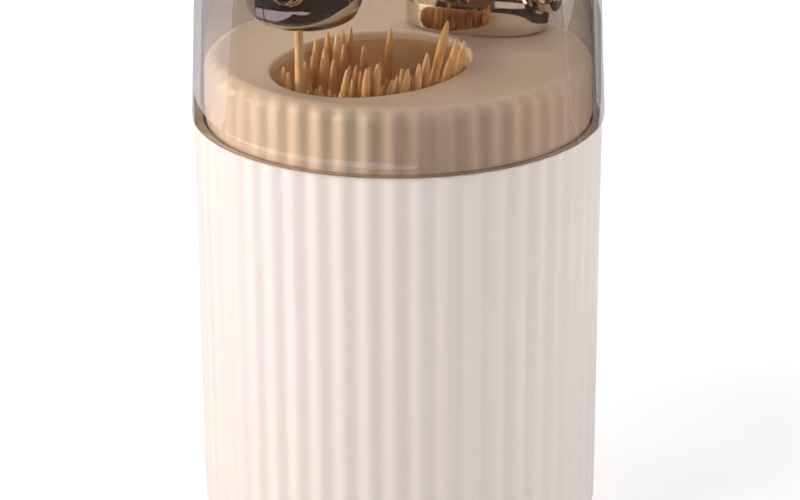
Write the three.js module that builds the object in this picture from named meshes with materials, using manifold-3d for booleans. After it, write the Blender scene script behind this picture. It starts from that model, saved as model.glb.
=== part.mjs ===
// Table-top toothpick dispenser: a fluted round pot with an oval cup of toothpicks,
// a chrome bird that rocks on a sprung post and picks one toothpick up by its tip, and a
// smoke-tinted dust cover that lifts off.
// Millimetres, +Z up, origin at the centre of the footprint on the table.
// The bird's plane of symmetry is X = 0 and the bird faces -Y.
import * as THREE from 'three';
import { mergeVertices } from 'three/addons/utils/BufferGeometryUtils.js';
import Module from 'manifold-3d';

// ---------------------------------------------------------------- dimensions
const SEAM_Z = 92.0;            // step that the cover's rim stands on
const DECK_Z = 105.2;           // top of the deck
const SHELL_R = 41.3;           // pot radius at the seam, mid flute
const SHELL_DRAFT = 0.4;        // degrees, narrower towards the foot
const SHELL_WALL = 2.0;
const SHELL_FOOT_Z = 0.8;       // underside of the pot above the table
const SHELL_FILLET = 8.0;
const FLUTES = 50;
const FLUTE_DEPTH = 0.5;        // crest to valley
const FLUTE_PHASE = -46.26;     // degrees, polar angle of one crest
const CROWN_R = 39.1;           // fluted neck inside the cover
const CROWN_FILLET = 3.0;
const CROWN_WALL = 2.0;
const CROWN_SKIRT_Z = 82.0;     // lower end of the neck's skirt in the pot
const DECK_T = 2.0;
const HOLE_X = 2.0;             // centre of the oval mouth
const HOLE_Y = -9.7;
const HOLE_A = 18.6;            // half width
const HOLE_B = 23.2;            // half length
const HOLE_TURN = 12.4;         // turn of the oval's length from Y, about +Z, degrees
const CUP_WALL = 1.5;
const CUP_FLOOR_Z = 43.0;       // top of the cup's floor
const COVER_R = 42.0;           // outer radius of the cover at its rim
const COVER_TAPER = 2.2;        // degrees, narrower towards the top
const COVER_WALL = 1.6;
const COVER_TOP_Z = 159.0;
const COVER_DOME = 15.0;        // radius between the side and the top
const GAP = 0.3;                // clearance between touching pieces

const PED_X = -1.15;            // pedestal's centre
const PED_Y = 24.5;
const PED_A = 15.0;             // half the long axis of its outline
const PED_B = 9.5;              // half the short axis
const PED_N = 2.4;              // roundness of its outline
const PED_TURN = 26.0;          // degrees, long axis from X
const PED_WALL_H = 5.0;
const PED_H = 12.5;
const CROSS_Y = 28.5;           // cross pin that holds the post in the pedestal
const CROSS_Z = DECK_Z + 7.3;
const PIVOT_Y = 22.5;           // pin that the bird rocks on
const PIVOT_Z = DECK_Z + 22.5;
const PIN_R = 1.5;
const POST_T = 4.8;             // post's thickness
const SPRING_Y = 17.4;
const SPRING_R = 1.55;          // coil's centre-line radius
const SPRING_WIRE = 0.3;        // wire radius
const SPRING_POCKET = 2.2;      // radius of its pocket in the pedestal
const SPRING_Z0 = DECK_Z + 5.3;
const SPRING_Z1 = DECK_Z + 16.1;

// Rounded lobes: centre, half sizes, roundness in plan (n) and in height (m), nose-up pitch in
// degrees. The head is flatter below its middle.
const HEAD = { y: -26.2, z: DECK_Z + 22.6, a: 11.4, b: 11.0, c: 11.8, n: 2.2, m: 2.2, pitch: 0, cLow: 10.8, mLow: 5.0 };
const NECK = { y: -12.0, z: DECK_Z + 27.5, a: 9.6, b: 9.5, c: 9.4, n: 2.0, m: 2.0, pitch: 0 };
const BODY = { y: 9.5, z: DECK_Z + 27.3, a: 15.0, b: 21.0, c: 12.3, n: 2.1, m: 2.1, pitch: 6 };
const TAIL = { y: 28.0, z: DECK_Z + 33.0, a: 6.8, b: 9.6, c: 3.4, n: 2.4, m: 2.2, pitch: 18 };
const BLEND_NECK = 7.0;
const BLEND_TAIL = 6.0;
const BIRD_WALL = 1.8;
const SEAM_HALF = 0.15;         // half the gap between the two half shells
const EYE_AZ = 30.6;            // degrees either side of the bird's plane
const EYE_Z = DECK_Z + 21.8;
const BEZEL_R = 3.8;
const GEM_R = 2.8;
const BEAK = { w: 1.15, d: 1.7, h: 2.4, out: 0.8, z: DECK_Z + 22.3 };
const PICK_Y = -27.6;
const PICK_R = 0.9;
const PICK_LEN = 65.0;
const PICK_TOP_Z = DECK_Z + 15.0;
const GRIP_R = 2.2;

// ---------------------------------------------------------------- materials
const mat = (color, roughness, metalness, extra = {}) =>
  new THREE.MeshStandardMaterial({ color, roughness, metalness, ...extra });
const CREAM = mat(0xf3e9e1, 0.35, 0.0);
const SMOKE = mat(0xa39889, 0.08, 0.0, { transparent: true, opacity: 0.4 });
const CHROME = mat(0xc9c8cc, 0.06, 1.0);
const STEEL = mat(0xb4b4b2, 0.28, 1.0);
const GOLD = mat(0xe2b76a, 0.15, 1.0);
const GEM = mat(0xf4f6fa, 0.02, 0.0, { transparent: true, opacity: 0.5 });
const RUBBER = mat(0x4a4744, 0.8, 0.0);
const SILICONE = mat(0x8d8984, 0.6, 0.0);
const BAMBOO = mat(0xd9ae7c, 0.6, 0.0);

// ---------------------------------------------------------------- helpers
const wasm = await Module();
wasm.setup();
const rad = THREE.MathUtils.degToRad;
const v2 = (x, y) => new THREE.Vector2(x, y);

// One closed indexed mesh of positions, shared corners merged, facing out.
function solid(geometry) {
  let g = geometry.clone();
  for (const name of Object.keys(g.attributes)) if (name !== 'position') g.deleteAttribute(name);
  g.clearGroups();
  g = mergeVertices(g, 1e-4);
  const p = g.attributes.position;
  const src = g.index.array;
  const keep = [];
  let volume = 0;
  const A = new THREE.Vector3(), B = new THREE.Vector3(), C = new THREE.Vector3();
  for (let i = 0; i < src.length; i += 3) {
    const [a, b, c] = [src[i], src[i + 1], src[i + 2]];
    if (a === b || b === c || a === c) continue;
    keep.push(a, b, c);
    A.fromBufferAttribute(p, a); B.fromBufferAttribute(p, b); C.fromBufferAttribute(p, c);
    volume += A.dot(B.cross(C));
  }
  if (volume < 0) for (let i = 0; i < keep.length; i += 3) [keep[i + 1], keep[i + 2]] = [keep[i + 2], keep[i + 1]];
  g.setIndex(keep);
  return g;
}

function toManifold(geometry) {
  const g = solid(geometry);
  return new wasm.Manifold(new wasm.Mesh({
    numProp: 3,
    vertProperties: new Float32Array(g.attributes.position.array),
    triVerts: new Uint32Array(g.index.array),
  }));
}

function fromManifold(m) {
  const mesh = m.getMesh();
  const g = new THREE.BufferGeometry();
  const n = mesh.numProp;
  const count = mesh.vertProperties.length / n;
  const pos = new Float32Array(count * 3);
  for (let i = 0; i < count; i++) for (let k = 0; k < 3; k++) pos[3 * i + k] = mesh.vertProperties[n * i + k];
  g.setAttribute('position', new THREE.BufferAttribute(pos, 3));
  g.setIndex(Array.from(mesh.triVerts));
  return solid(g);
}

function cut(geometry, ...tools) {
  let m = toManifold(geometry);
  for (const t of tools) m = m.subtract(toManifold(t));
  return fromManifold(m);
}

// Turned shape about Z from (radius, height) points.
function turned(points, segments = 48, phiStart = 0) {
  return new THREE.LatheGeometry(points.map(([r, z]) => v2(r, z)), segments, phiStart).rotateX(Math.PI / 2);
}
const arc = (cx, cz, r, a0, a1, n) => Array.from({ length: n + 1 }, (_, i) => {
  const a = rad(a0 + (a1 - a0) * i / n);
  return [cx + r * Math.cos(a), cz + r * Math.sin(a)];
});
const rod = (r, z0, z1, x = 0, y = 0, seg = 16) =>
  new THREE.CylinderGeometry(r, r, z1 - z0, seg).rotateX(Math.PI / 2).translate(x, y, (z0 + z1) / 2);
const rodX = (r, x0, x1, y, z, seg = 16) =>
  new THREE.CylinderGeometry(r, r, x1 - x0, seg).rotateZ(Math.PI / 2).translate((x0 + x1) / 2, y, z);
const block = (x0, x1, y0, y1, z0, z1) =>
  new THREE.BoxGeometry(x1 - x0, y1 - y0, z1 - z0).translate((x0 + x1) / 2, (y0 + y1) / 2, (z0 + z1) / 2);

// The mouth's oval, grown or shrunk, as an upright prism.
function ovalPrism(a, b, z0, z1, segments = 48) {
  const s = new THREE.Shape();
  for (let i = 0; i < segments; i++) {
    const t = 2 * Math.PI * i / segments;
    const p = [a * Math.cos(t), b * Math.sin(t)];
    if (i === 0) s.moveTo(...p); else s.lineTo(...p);
  }
  s.closePath();
  return new THREE.ExtrudeGeometry(s, { depth: z1 - z0, bevelEnabled: false, steps: 1 })
    .rotateZ(rad(HOLE_TURN)).translate(HOLE_X, HOLE_Y, z0);
}

// Turned fluted wall: rings whose flag is set ride the flutes.
function fluted(rings, segments) {
  const g = new THREE.LatheGeometry(rings.map(([r, z]) => v2(r, z)), segments, rad(FLUTE_PHASE + 90)).rotateX(Math.PI / 2);
  const p = g.attributes.position;
  for (let i = 0; i < p.count; i++) {
    const k = rings[i % rings.length][2] ?? 0;
    if (!k) continue;
    const x = p.getX(i), y = p.getY(i), r = Math.hypot(x, y);
    const t = Math.atan2(y, x) - rad(FLUTE_PHASE);
    const q = (r + k * FLUTE_DEPTH / 2 * Math.cos(FLUTES * t)) / r;
    p.setX(i, x * q); p.setY(i, y * q);
  }
  return g;
}

const root = new THREE.Group();
root.name = 'toothpick_dispenser';
const groups = {};
for (const name of ['base', 'bird', 'cover']) { groups[name] = new THREE.Group(); root.add(groups[name]); }
function add(group, name, geometry, material) {
  const g = solid(geometry);
  g.computeVertexNormals();
  const mesh = new THREE.Mesh(g, material);
  mesh.name = name;
  groups[group].add(mesh);
  return mesh;
}

// ---------------------------------------------------------------- pot
{
  const slope = Math.tan(rad(SHELL_DRAFT));
  const rAt = (z) => SHELL_R - (SEAM_Z - z) * slope;
  const zf = SHELL_FOOT_Z + SHELL_FILLET;
  const rf = rAt(zf);
  const outer = [
    ...arc(rf - SHELL_FILLET, zf, SHELL_FILLET, -90, 0, 4).map(([r, z], i) => [r, z, [0, 0.1, 0.4, 0.8, 1][i]]),
    [rAt(SEAM_Z), SEAM_Z, 1],
    [0, SEAM_Z],
  ];
  const lip = CROWN_R + 0.55;
  const inner = [
    [0, SHELL_FOOT_Z + 2.2], [rf - SHELL_WALL - 7.5, SHELL_FOOT_Z + 2.2], [rf - SHELL_WALL - 2.6, SHELL_FOOT_Z + 4.2],
    [rf - SHELL_WALL - 0.25, zf + 2], [rAt(60) - SHELL_WALL - 0.25, 60], [lip, CROWN_SKIRT_Z - 3],
    [lip, SEAM_Z + 3], [0, SEAM_Z + 3],
  ];
  const feet = [45, 135, 225, 315].map((a) => rod(5.3, SHELL_FOOT_Z - 2, SHELL_FOOT_Z + 0.7, 26 * Math.cos(rad(a)), 26 * Math.sin(rad(a)), 20));
  const shell = fluted([[0, SHELL_FOOT_Z], ...outer], 2 * FLUTES);
  add('base', 'outer_shell', cut(shell, turned(inner, 40), ...feet), CREAM);
  ['back_right', 'back_left', 'front_left', 'front_right'].forEach((name, i) => {
    const a = rad(45 + 90 * i);
    add('base', `foot_${name}`, turned([[0, 0], [4.6, 0], [5.0, 0.4], [5.0, SHELL_FOOT_Z + 0.4], [0, SHELL_FOOT_Z + 0.4]], 16)
      .translate(26 * Math.cos(a), 26 * Math.sin(a), 0), RUBBER);
  });
}

// ---------------------------------------------------------------- neck and deck
const SCREWS = [['left', -9.0, 21.0], ['right', 8.5, 25.5]];
const deckHoles = SCREWS.map(([, x, y]) => rod(1.6, DECK_Z - 6, DECK_Z + 2, x, y));
{
  const top = arc(CROWN_R - CROWN_FILLET, DECK_Z - CROWN_FILLET, CROWN_FILLET, 0, 90, 3);
  const rings = [
    [0, CROWN_SKIRT_Z], [CROWN_R, CROWN_SKIRT_Z], [CROWN_R, SEAM_Z - 0.4],
    [CROWN_R, SEAM_Z + 0.4, 0.8],
    ...top.map(([r, z], i) => [r, z, [0.8, 0.6, 0.2, 0][i]]),
    [0, DECK_Z],
  ];
  const under = turned([[0, CROWN_SKIRT_Z - 5], [CROWN_R - CROWN_WALL, CROWN_SKIRT_Z - 5], [CROWN_R - CROWN_WALL, DECK_Z - DECK_T - 1.6],
    [CROWN_R - CROWN_FILLET - 1.0, DECK_Z - DECK_T], [0, DECK_Z - DECK_T]], 40);
  const mouth = ovalPrism(HOLE_A, HOLE_B, DECK_Z - 6, DECK_Z + 3);
  add('base', 'deck_crown', cut(fluted(rings, 2 * FLUTES), under, mouth, ...deckHoles), CREAM);
}

// ---------------------------------------------------------------- cup and toothpicks
{
  const z1 = DECK_Z - DECK_T - GAP;
  const z0 = CUP_FLOOR_Z - CUP_WALL;
  const wall = toManifold(ovalPrism(HOLE_A + CUP_WALL, HOLE_B + CUP_WALL, z0, z1));
  const flange = toManifold(ovalPrism(HOLE_A + 4, HOLE_B + 1.9, z1 - 1.4, z1));
  const inside = toManifold(ovalPrism(HOLE_A, HOLE_B, CUP_FLOOR_Z, z1 + 5));
  add('base', 'pick_cup', fromManifold(wall.add(flange).subtract(inside)), CREAM);

  // The stock of toothpicks stands for many loose ones; a channel leaves room for the lifted one.
  const bundle = ovalPrism(HOLE_A - 0.8, HOLE_B - 0.8, CUP_FLOOR_Z + GAP, DECK_Z + 0.8, 40);
  const ch = new THREE.Shape();
  ch.moveTo(-40, 30); ch.lineTo(-12.2, 30); ch.lineTo(-12.2, 46); ch.lineTo(-22.8, DECK_Z + 8); ch.lineTo(-40, DECK_Z + 8); ch.closePath();
  const channel = new THREE.ExtrudeGeometry(ch, { depth: 4.8, bevelEnabled: false }).translate(0, 0, -2.4)
    .applyMatrix4(new THREE.Matrix4().set(0, 0, 1, 0, 1, 0, 0, 0, 0, 1, 0, 0, 0, 0, 0, 1));
  add('base', 'toothpick_bundle', cut(bundle, channel), BAMBOO);
}

// ---------------------------------------------------------------- pedestal
{
  const rings = [[0, 0], [0.97, 0], [1.0, 0.5], [1.0, PED_WALL_H]];
  const dome = PED_H - PED_WALL_H;
  for (let i = 1; i <= 5; i++) {
    const t = rad(90 * i / 5);
    rings.push([i === 5 ? 0 : Math.pow(Math.cos(t), 0.8), PED_WALL_H + dome * Math.pow(Math.sin(t), 0.9)]);
  }
  const g = turned(rings, 36);
  const p = g.attributes.position;
  for (let i = 0; i < p.count; i++) {
    const x = p.getX(i), y = p.getY(i), r = Math.hypot(x, y);
    if (r < 1e-9) continue;
    const c = x / r, s = y / r;
    p.setX(i, r * PED_A * Math.sign(c) * Math.pow(Math.abs(c), 2 / PED_N));
    p.setY(i, r * PED_B * Math.sign(s) * Math.pow(Math.abs(s), 2 / PED_N));
  }
  g.rotateZ(rad(PED_TURN)).translate(PED_X, PED_Y, DECK_Z + GAP);
  add('base', 'pedestal', cut(g,
    block(-POST_T / 2 - GAP, POST_T / 2 + GAP, CROSS_Y - 4.6, CROSS_Y + 3.6, DECK_Z + 3.0, DECK_Z + 30),
    rod(SPRING_POCKET, SPRING_Z0 - GAP, DECK_Z + 30, 0, SPRING_Y),
    rodX(PIN_R + GAP, -9.3, 20, CROSS_Y, CROSS_Z),
    rodX(3.0, 12.2, 20, CROSS_Y, CROSS_Z),
    ...SCREWS.map(([, x, y]) => rod(1.55, DECK_Z - 2, DECK_Z + 5.0, x, y)),
  ), CHROME);
  for (const [side, x, y] of SCREWS) {
    add('base', `pedestal_screw_${side}`, turned([
      [0, DECK_Z - DECK_T - 2.0], [1.8, DECK_Z - DECK_T - 2.0], [2.5, DECK_Z - DECK_T - 1.2], [2.5, DECK_Z - DECK_T - GAP],
      [1.25, DECK_Z - DECK_T - GAP], [1.25, DECK_Z + 4.0], [0.4, DECK_Z + 4.6], [0, DECK_Z + 4.6]], 16).translate(x, y, 0), STEEL);
  }
  add('base', 'cross_pin_cap', turned([[0, 0], [1.8, 0], [1.8, 1.3], [2.3, 1.6], [2.3, 3.6], [1.7, 4.6], [0, 4.9]], 16)
    .rotateY(Math.PI / 2).translate(12.5, CROSS_Y, CROSS_Z), CHROME);
  add('base', 'cross_pin', rodX(PIN_R, -9.0, 12.1, CROSS_Y, CROSS_Z), STEEL);

  // Flat post: its foot sits in the pedestal's slot and its rounded top carries the bird's pin.
  const post = new THREE.Shape();
  post.moveTo(CROSS_Y - 4.2, DECK_Z + 3.3);
  post.lineTo(CROSS_Y + 3.2, DECK_Z + 3.3);
  post.lineTo(CROSS_Y + 3.2, DECK_Z + 11.0);
  post.lineTo(PIVOT_Y + 2.9, PIVOT_Z - 1.0);
  post.absarc(PIVOT_Y, PIVOT_Z, 3.0, 0, Math.PI, false);
  post.lineTo(PIVOT_Y - 2.9, PIVOT_Z - 1.0);
  post.lineTo(CROSS_Y - 4.2, DECK_Z + 12.0);
  post.closePath();
  for (const [y, z] of [[CROSS_Y, CROSS_Z], [PIVOT_Y, PIVOT_Z]]) {
    const eye = new THREE.Path();
    eye.absarc(y, z, PIN_R + GAP, 0, 2 * Math.PI, true);
    post.holes.push(eye);
  }
  add('base', 'bird_post', new THREE.ExtrudeGeometry(post, { depth: POST_T, bevelEnabled: false, curveSegments: 8 }).translate(0, 0, -POST_T / 2)
    .applyMatrix4(new THREE.Matrix4().set(0, 0, 1, 0, 1, 0, 0, 0, 0, 1, 0, 0, 0, 0, 0, 1)), STEEL);
  add('base', 'pivot_pin', rodX(PIN_R, -6.8, 6.8, PIVOT_Y, PIVOT_Z), STEEL);
}

// ---------------------------------------------------------------- return spring
{
  const turns = 6;
  class Helix extends THREE.Curve {
    getPoint(t, out = new THREE.Vector3()) {
      const a = 2 * Math.PI * turns * t;
      return out.set(SPRING_R * Math.cos(a), SPRING_Y + SPRING_R * Math.sin(a),
        SPRING_Z0 + SPRING_WIRE + (SPRING_Z1 - SPRING_Z0 - 2 * SPRING_WIRE) * t);
    }
  }
  const s = new THREE.Shape();
  for (let i = 0; i < 6; i++) {
    const a = 2 * Math.PI * i / 6;
    if (i) s.lineTo(SPRING_WIRE * Math.cos(a), SPRING_WIRE * Math.sin(a)); else s.moveTo(SPRING_WIRE, 0);
  }
  s.closePath();
  add('base', 'return_spring', new THREE.ExtrudeGeometry(s, { steps: turns * 10, bevelEnabled: false, extrudePath: new Helix() }), STEEL);
}

// ---------------------------------------------------------------- bird
function lobe(L, shrink) {
  const a = L.a - shrink, b = L.b - shrink, c = L.c - shrink;
  const cp = Math.cos(rad(L.pitch)), sp = Math.sin(rad(L.pitch));
  const scale = Math.min(a, b, c);
  return (x, y, z) => {
    const dy = y - L.y, dz = z - L.z;
    const u = cp * dy + sp * dz, w = -sp * dy + cp * dz;
    const m = w < 0 ? L.mLow ?? L.m : L.m, h = w < 0 ? (L.cLow ?? L.c) - shrink : c;
    const q = Math.pow(Math.pow(Math.abs(x / a), L.n) + Math.pow(Math.abs(u / b), L.n), m / L.n) + Math.pow(Math.abs(w / h), m);
    return (Math.pow(q, 1 / m) - 1) * scale;
  };
}
const smin = (a, b, k) => { const h = Math.max(0, k - Math.abs(a - b)) / k; return Math.min(a, b) - h * h * k / 4; };
function birdField(shrink) {
  const h = lobe(HEAD, shrink), c = lobe(NECK, shrink), b = lobe(BODY, shrink), t = lobe(TAIL, Math.min(shrink, 1.6));
  return (x, y, z) => smin(smin(h(x, y, z), smin(c(x, y, z), b(x, y, z), BLEND_NECK), BLEND_NECK), t(x, y, z), BLEND_TAIL);
}
function spineZ(y) {
  const pts = [[-40, HEAD.z], [-24, HEAD.z], [-12, NECK.z], [-2, BODY.z], [14, BODY.z + 0.5], [26, TAIL.z - 1.5], [40, TAIL.z + 3.2]];
  for (let i = 1; i < pts.length; i++) if (y <= pts[i][0]) {
    const t = (y - pts[i - 1][0]) / (pts[i][0] - pts[i - 1][0]);
    return pts[i - 1][1] + (pts[i][1] - pts[i - 1][1]) * t;
  }
  return pts.at(-1)[1];
}
const bisect = (f, inside, outside) => {
  for (let i = 0; i < 48; i++) { const m = (inside + outside) / 2; if (f(m) < 0) inside = m; else outside = m; }
  return (inside + outside) / 2;
};
// A sphere's net, each ring laid on a slice across the bird.
function birdSkin(shrink, along, around) {
  const f = birdField(shrink);
  const y0 = bisect((y) => f(0, y, spineZ(y)), HEAD.y, -60);
  const y1 = bisect((y) => f(0, y, spineZ(y)), TAIL.y, 70);
  const g = new THREE.SphereGeometry(1, around, along);
  const p = g.attributes.position;
  for (let i = 0; i < p.count; i++) {
    const v = new THREE.Vector3().fromBufferAttribute(p, i);
    const phi = Math.acos(THREE.MathUtils.clamp(v.y, -1, 1));
    const y = y0 + (y1 - y0) * (1 - Math.cos(phi)) / 2;
    const zc = spineZ(y);
    const s = Math.hypot(v.x, v.z);
    if (s < 1e-6) { p.setXYZ(i, 0, phi < 1 ? y0 : y1, spineZ(phi < 1 ? y0 : y1)); continue; }
    const dx = v.x / s, dz = v.z / s;
    const r = bisect((q) => f(q * dx, y, zc + q * dz), 0, 30);
    p.setXYZ(i, r * dx, y, zc + r * dz);
  }
  return g;
}
// Where a level ray from the head's centre leaves the skin, and the skin's outward normal there.
const F0 = birdField(0);
function eyeFrame(side) {
  const d = new THREE.Vector3(side * Math.sin(rad(EYE_AZ)), -Math.cos(rad(EYE_AZ)), 0);
  const r = bisect((q) => F0(d.x * q, HEAD.y + d.y * q, EYE_Z), 0, 30);
  const c = new THREE.Vector3(d.x * r, HEAD.y + d.y * r, EYE_Z);
  const e = 0.01;
  const n = new THREE.Vector3(
    F0(c.x + e, c.y, c.z) - F0(c.x - e, c.y, c.z),
    F0(c.x, c.y + e, c.z) - F0(c.x, c.y - e, c.z),
    F0(c.x, c.y, c.z + e) - F0(c.x, c.y, c.z - e)).normalize();
  return { c, q: new THREE.Quaternion().setFromUnitVectors(new THREE.Vector3(0, 0, 1), n) };
}
const placed = (g, f) => g.applyQuaternion(f.q).translate(f.c.x, f.c.y, f.c.z);
{
  const skin = toManifold(birdSkin(0, 24, 20));
  const core = toManifold(birdSkin(BIRD_WALL, 14, 12));
  const sockets = [-1, 1].map((s) => placed(rod(BEZEL_R + GAP, -1.6, 8, 0, 0, 20), eyeFrame(s)));
  const beakPocket = new THREE.SphereGeometry(1, 12, 8).scale(BEAK.w + GAP, BEAK.d + GAP, BEAK.h + GAP).translate(0, BEAK_Y(), BEAK.z);
  let shell = skin.subtract(core);
  // Bosses inside the half shells take the ends of the pivot pin.
  for (const s of [-1, 1]) shell = shell.add(toManifold(rodX(3.6, s * 3.1, s * 16, PIVOT_Y, PIVOT_Z)).intersect(skin));
  for (const t of [
    rod(GRIP_R + GAP, DECK_Z + 5, DECK_Z + 16.4, 0, PICK_Y),
    block(-2.8, 2.8, PIVOT_Y - 3.5, PIVOT_Y + 4.6, DECK_Z + 8, PIVOT_Z + 3.4),
    rodX(PIN_R + GAP, -7.1, 7.1, PIVOT_Y, PIVOT_Z),
    ...sockets, beakPocket,
  ]) shell = shell.subtract(toManifold(t));
  add('bird', 'bird_shell_left', fromManifold(shell.intersect(toManifold(block(-40, -SEAM_HALF, -60, 60, 80, 180)))), CHROME);
  add('bird', 'bird_shell_right', fromManifold(shell.intersect(toManifold(block(SEAM_HALF, 40, -60, 60, 80, 180)))), CHROME);

  for (const [s, side] of [[-1, 'left'], [1, 'right']]) {
    const f = eyeFrame(s);
    let ring = toManifold(turned([[GEM_R + GAP, -1.3], [BEZEL_R, -1.3], [BEZEL_R, -0.1], [BEZEL_R - 0.45, 0.3], [GEM_R + GAP, 0.3], [GEM_R + GAP, -1.3]], 20));
    for (let i = 0; i < 4; i++) {
      const a = rad(45 + 90 * i);
      ring = ring.add(toManifold(new THREE.SphereGeometry(0.55, 6, 4).scale(1, 1, 1.1).translate((GEM_R + 0.7) * Math.cos(a), (GEM_R + 0.7) * Math.sin(a), 0.15)));
    }
    add('bird', `eye_bezel_${side}`, placed(fromManifold(ring), f), GOLD);
    const gem = turned([[0, -1.2], [GEM_R * 0.7, -1.2], [GEM_R - 0.05, -0.4], [GEM_R - 0.05, -0.1], [GEM_R * 0.72, 0.5], [GEM_R * 0.4, 0.75], [0, 0.75]], 12);
    add('bird', `eye_gem_${side}`, placed(gem, f), GEM);
  }
  add('bird', 'beak', new THREE.SphereGeometry(1, 12, 8).scale(BEAK.w, BEAK.d, BEAK.h).translate(0, BEAK_Y(), BEAK.z), GOLD);

  add('bird', 'pick_grip', turned([[PICK_R + GAP, DECK_Z + 11.5], [GRIP_R - 0.3, DECK_Z + 11.5], [GRIP_R, DECK_Z + 11.8], [GRIP_R, DECK_Z + 16.1],
    [0, DECK_Z + 16.1], [0, DECK_Z + 15.4], [PICK_R + GAP, DECK_Z + 14.6], [PICK_R + GAP, DECK_Z + 11.5]], 16).translate(0, PICK_Y, 0), SILICONE);
  const zb = PICK_TOP_Z - PICK_LEN;
  add('bird', 'held_toothpick', turned([[0, zb], [0.25, zb + 0.1], [PICK_R, zb + 5.5], [PICK_R, PICK_TOP_Z - 5.5], [0.25, PICK_TOP_Z - 0.1], [0, PICK_TOP_Z]], 12)
    .translate(0, PICK_Y, 0), BAMBOO);
}
function BEAK_Y() { return bisect((y) => F0(0, y, BEAK.z), HEAD.y, -60) + BEAK.d - BEAK.out; }

// ---------------------------------------------------------------- dust cover
{
  const k = Math.tan(rad(COVER_TAPER));
  const z0 = SEAM_Z + GAP;
  const profile = (off, base) => {
    const rAt = (z) => COVER_R - off - (z - z0) * k;
    const top = COVER_TOP_Z - off, rr = COVER_DOME - off;
    const cz = top - rr, cx = rAt(cz) - rr;
    return [[rAt(base), base], ...arc(cx, cz, rr, 0, 90, 5), [0, top]];
  };
  const outer = profile(0, z0);
  const inner = profile(COVER_WALL, z0).reverse();
  add('cover', 'dust_cover', turned([...outer, ...inner, outer[0]], 60), SMOKE);
}

export default root;
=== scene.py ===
import math
import random

import bmesh
import bpy
import numpy as np
from mathutils import Matrix, Vector


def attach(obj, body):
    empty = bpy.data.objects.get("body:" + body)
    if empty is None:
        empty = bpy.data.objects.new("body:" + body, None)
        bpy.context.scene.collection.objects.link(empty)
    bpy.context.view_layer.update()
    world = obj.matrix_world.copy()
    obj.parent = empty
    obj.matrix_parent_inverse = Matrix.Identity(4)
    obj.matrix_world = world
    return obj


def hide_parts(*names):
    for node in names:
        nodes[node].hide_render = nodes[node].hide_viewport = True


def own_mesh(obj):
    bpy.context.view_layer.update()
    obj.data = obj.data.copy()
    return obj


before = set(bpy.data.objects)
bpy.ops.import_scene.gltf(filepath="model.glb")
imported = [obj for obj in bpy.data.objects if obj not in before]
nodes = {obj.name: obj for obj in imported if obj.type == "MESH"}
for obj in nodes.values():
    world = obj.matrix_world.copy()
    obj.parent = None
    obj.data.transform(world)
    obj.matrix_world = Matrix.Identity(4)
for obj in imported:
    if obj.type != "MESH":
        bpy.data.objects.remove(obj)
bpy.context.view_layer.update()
scene = bpy.context.scene
scene.view_settings.view_transform = "Standard"
scene.view_settings.look = "None"

MM = 0.001
rad = math.radians

# ------------------------------------------------------------------ dimensions, in millimetres
SEAM = 92.0
D = 105.2
SHELL_R, SHELL_DRAFT, SHELL_WALL, SHELL_FOOT, SHELL_FILLET = 41.3, 0.4, 2.0, 0.8, 8.0
FLUTES, FLUTE_DEPTH, FLUTE_PHASE = 50, 0.5, -46.26
CROWN_R, CROWN_FILLET, CROWN_WALL, CROWN_SKIRT = 39.1, 3.0, 2.0, 82.0
DECK_T = 2.0
HOLE_X, HOLE_Y, HOLE_A, HOLE_B, HOLE_TURN = 2.0, -9.7, 18.6, 23.2, 12.4
CUP_WALL, CUP_FLOOR = 1.5, 43.0
COVER_R, COVER_TAPER, COVER_WALL, COVER_TOP, COVER_DOME = 42.0, 2.2, 1.6, 159.0, 15.0
PED_X, PED_Y, PED_A, PED_B, PED_N, PED_TURN, PED_WALL_H, PED_H = -1.15, 24.5, 15.0, 9.5, 2.4, 26.0, 5.0, 12.5
CROSS_Y, CROSS_Z = 28.5, D + 7.3
PIVOT_Y, PIVOT_Z, PIN_R, POST_T = 22.5, D + 22.5, 1.5, 4.8
SPRING_Y, SPRING_R, SPRING_WIRE, SPRING_Z0, SPRING_Z1 = 17.4, 1.55, 0.3, D + 5.3, D + 16.1
HEAD = dict(y=-26.2, z=D + 22.6, a=11.4, b=11.0, c=11.8, n=2.2, m=2.2, pitch=0.0, cl=10.8, ml=5.0)
NECK = dict(y=-12.0, z=D + 27.5, a=9.6, b=9.5, c=9.4, n=2.0, m=2.0, pitch=0.0)
BODY = dict(y=9.5, z=D + 27.3, a=15.0, b=21.0, c=12.3, n=2.1, m=2.1, pitch=6.0)
TAIL = dict(y=28.0, z=D + 33.0, a=6.8, b=9.6, c=3.4, n=2.4, m=2.2, pitch=18.0)
BLEND_NECK, BLEND_TAIL = 7.0, 6.0
EYE_AZ, EYE_Z, BEZEL_R, GEM_R = 30.6, D + 21.8, 3.8, 2.8
BEAK_W, BEAK_D, BEAK_H, BEAK_OUT, BEAK_Z = 1.15, 1.7, 2.4, 0.8, D + 22.3
PICK_Y, PICK_R, PICK_LEN, PICK_TOP, GRIP_R = -27.6, 0.9, 65.0, D + 15.0, 2.2


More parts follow.
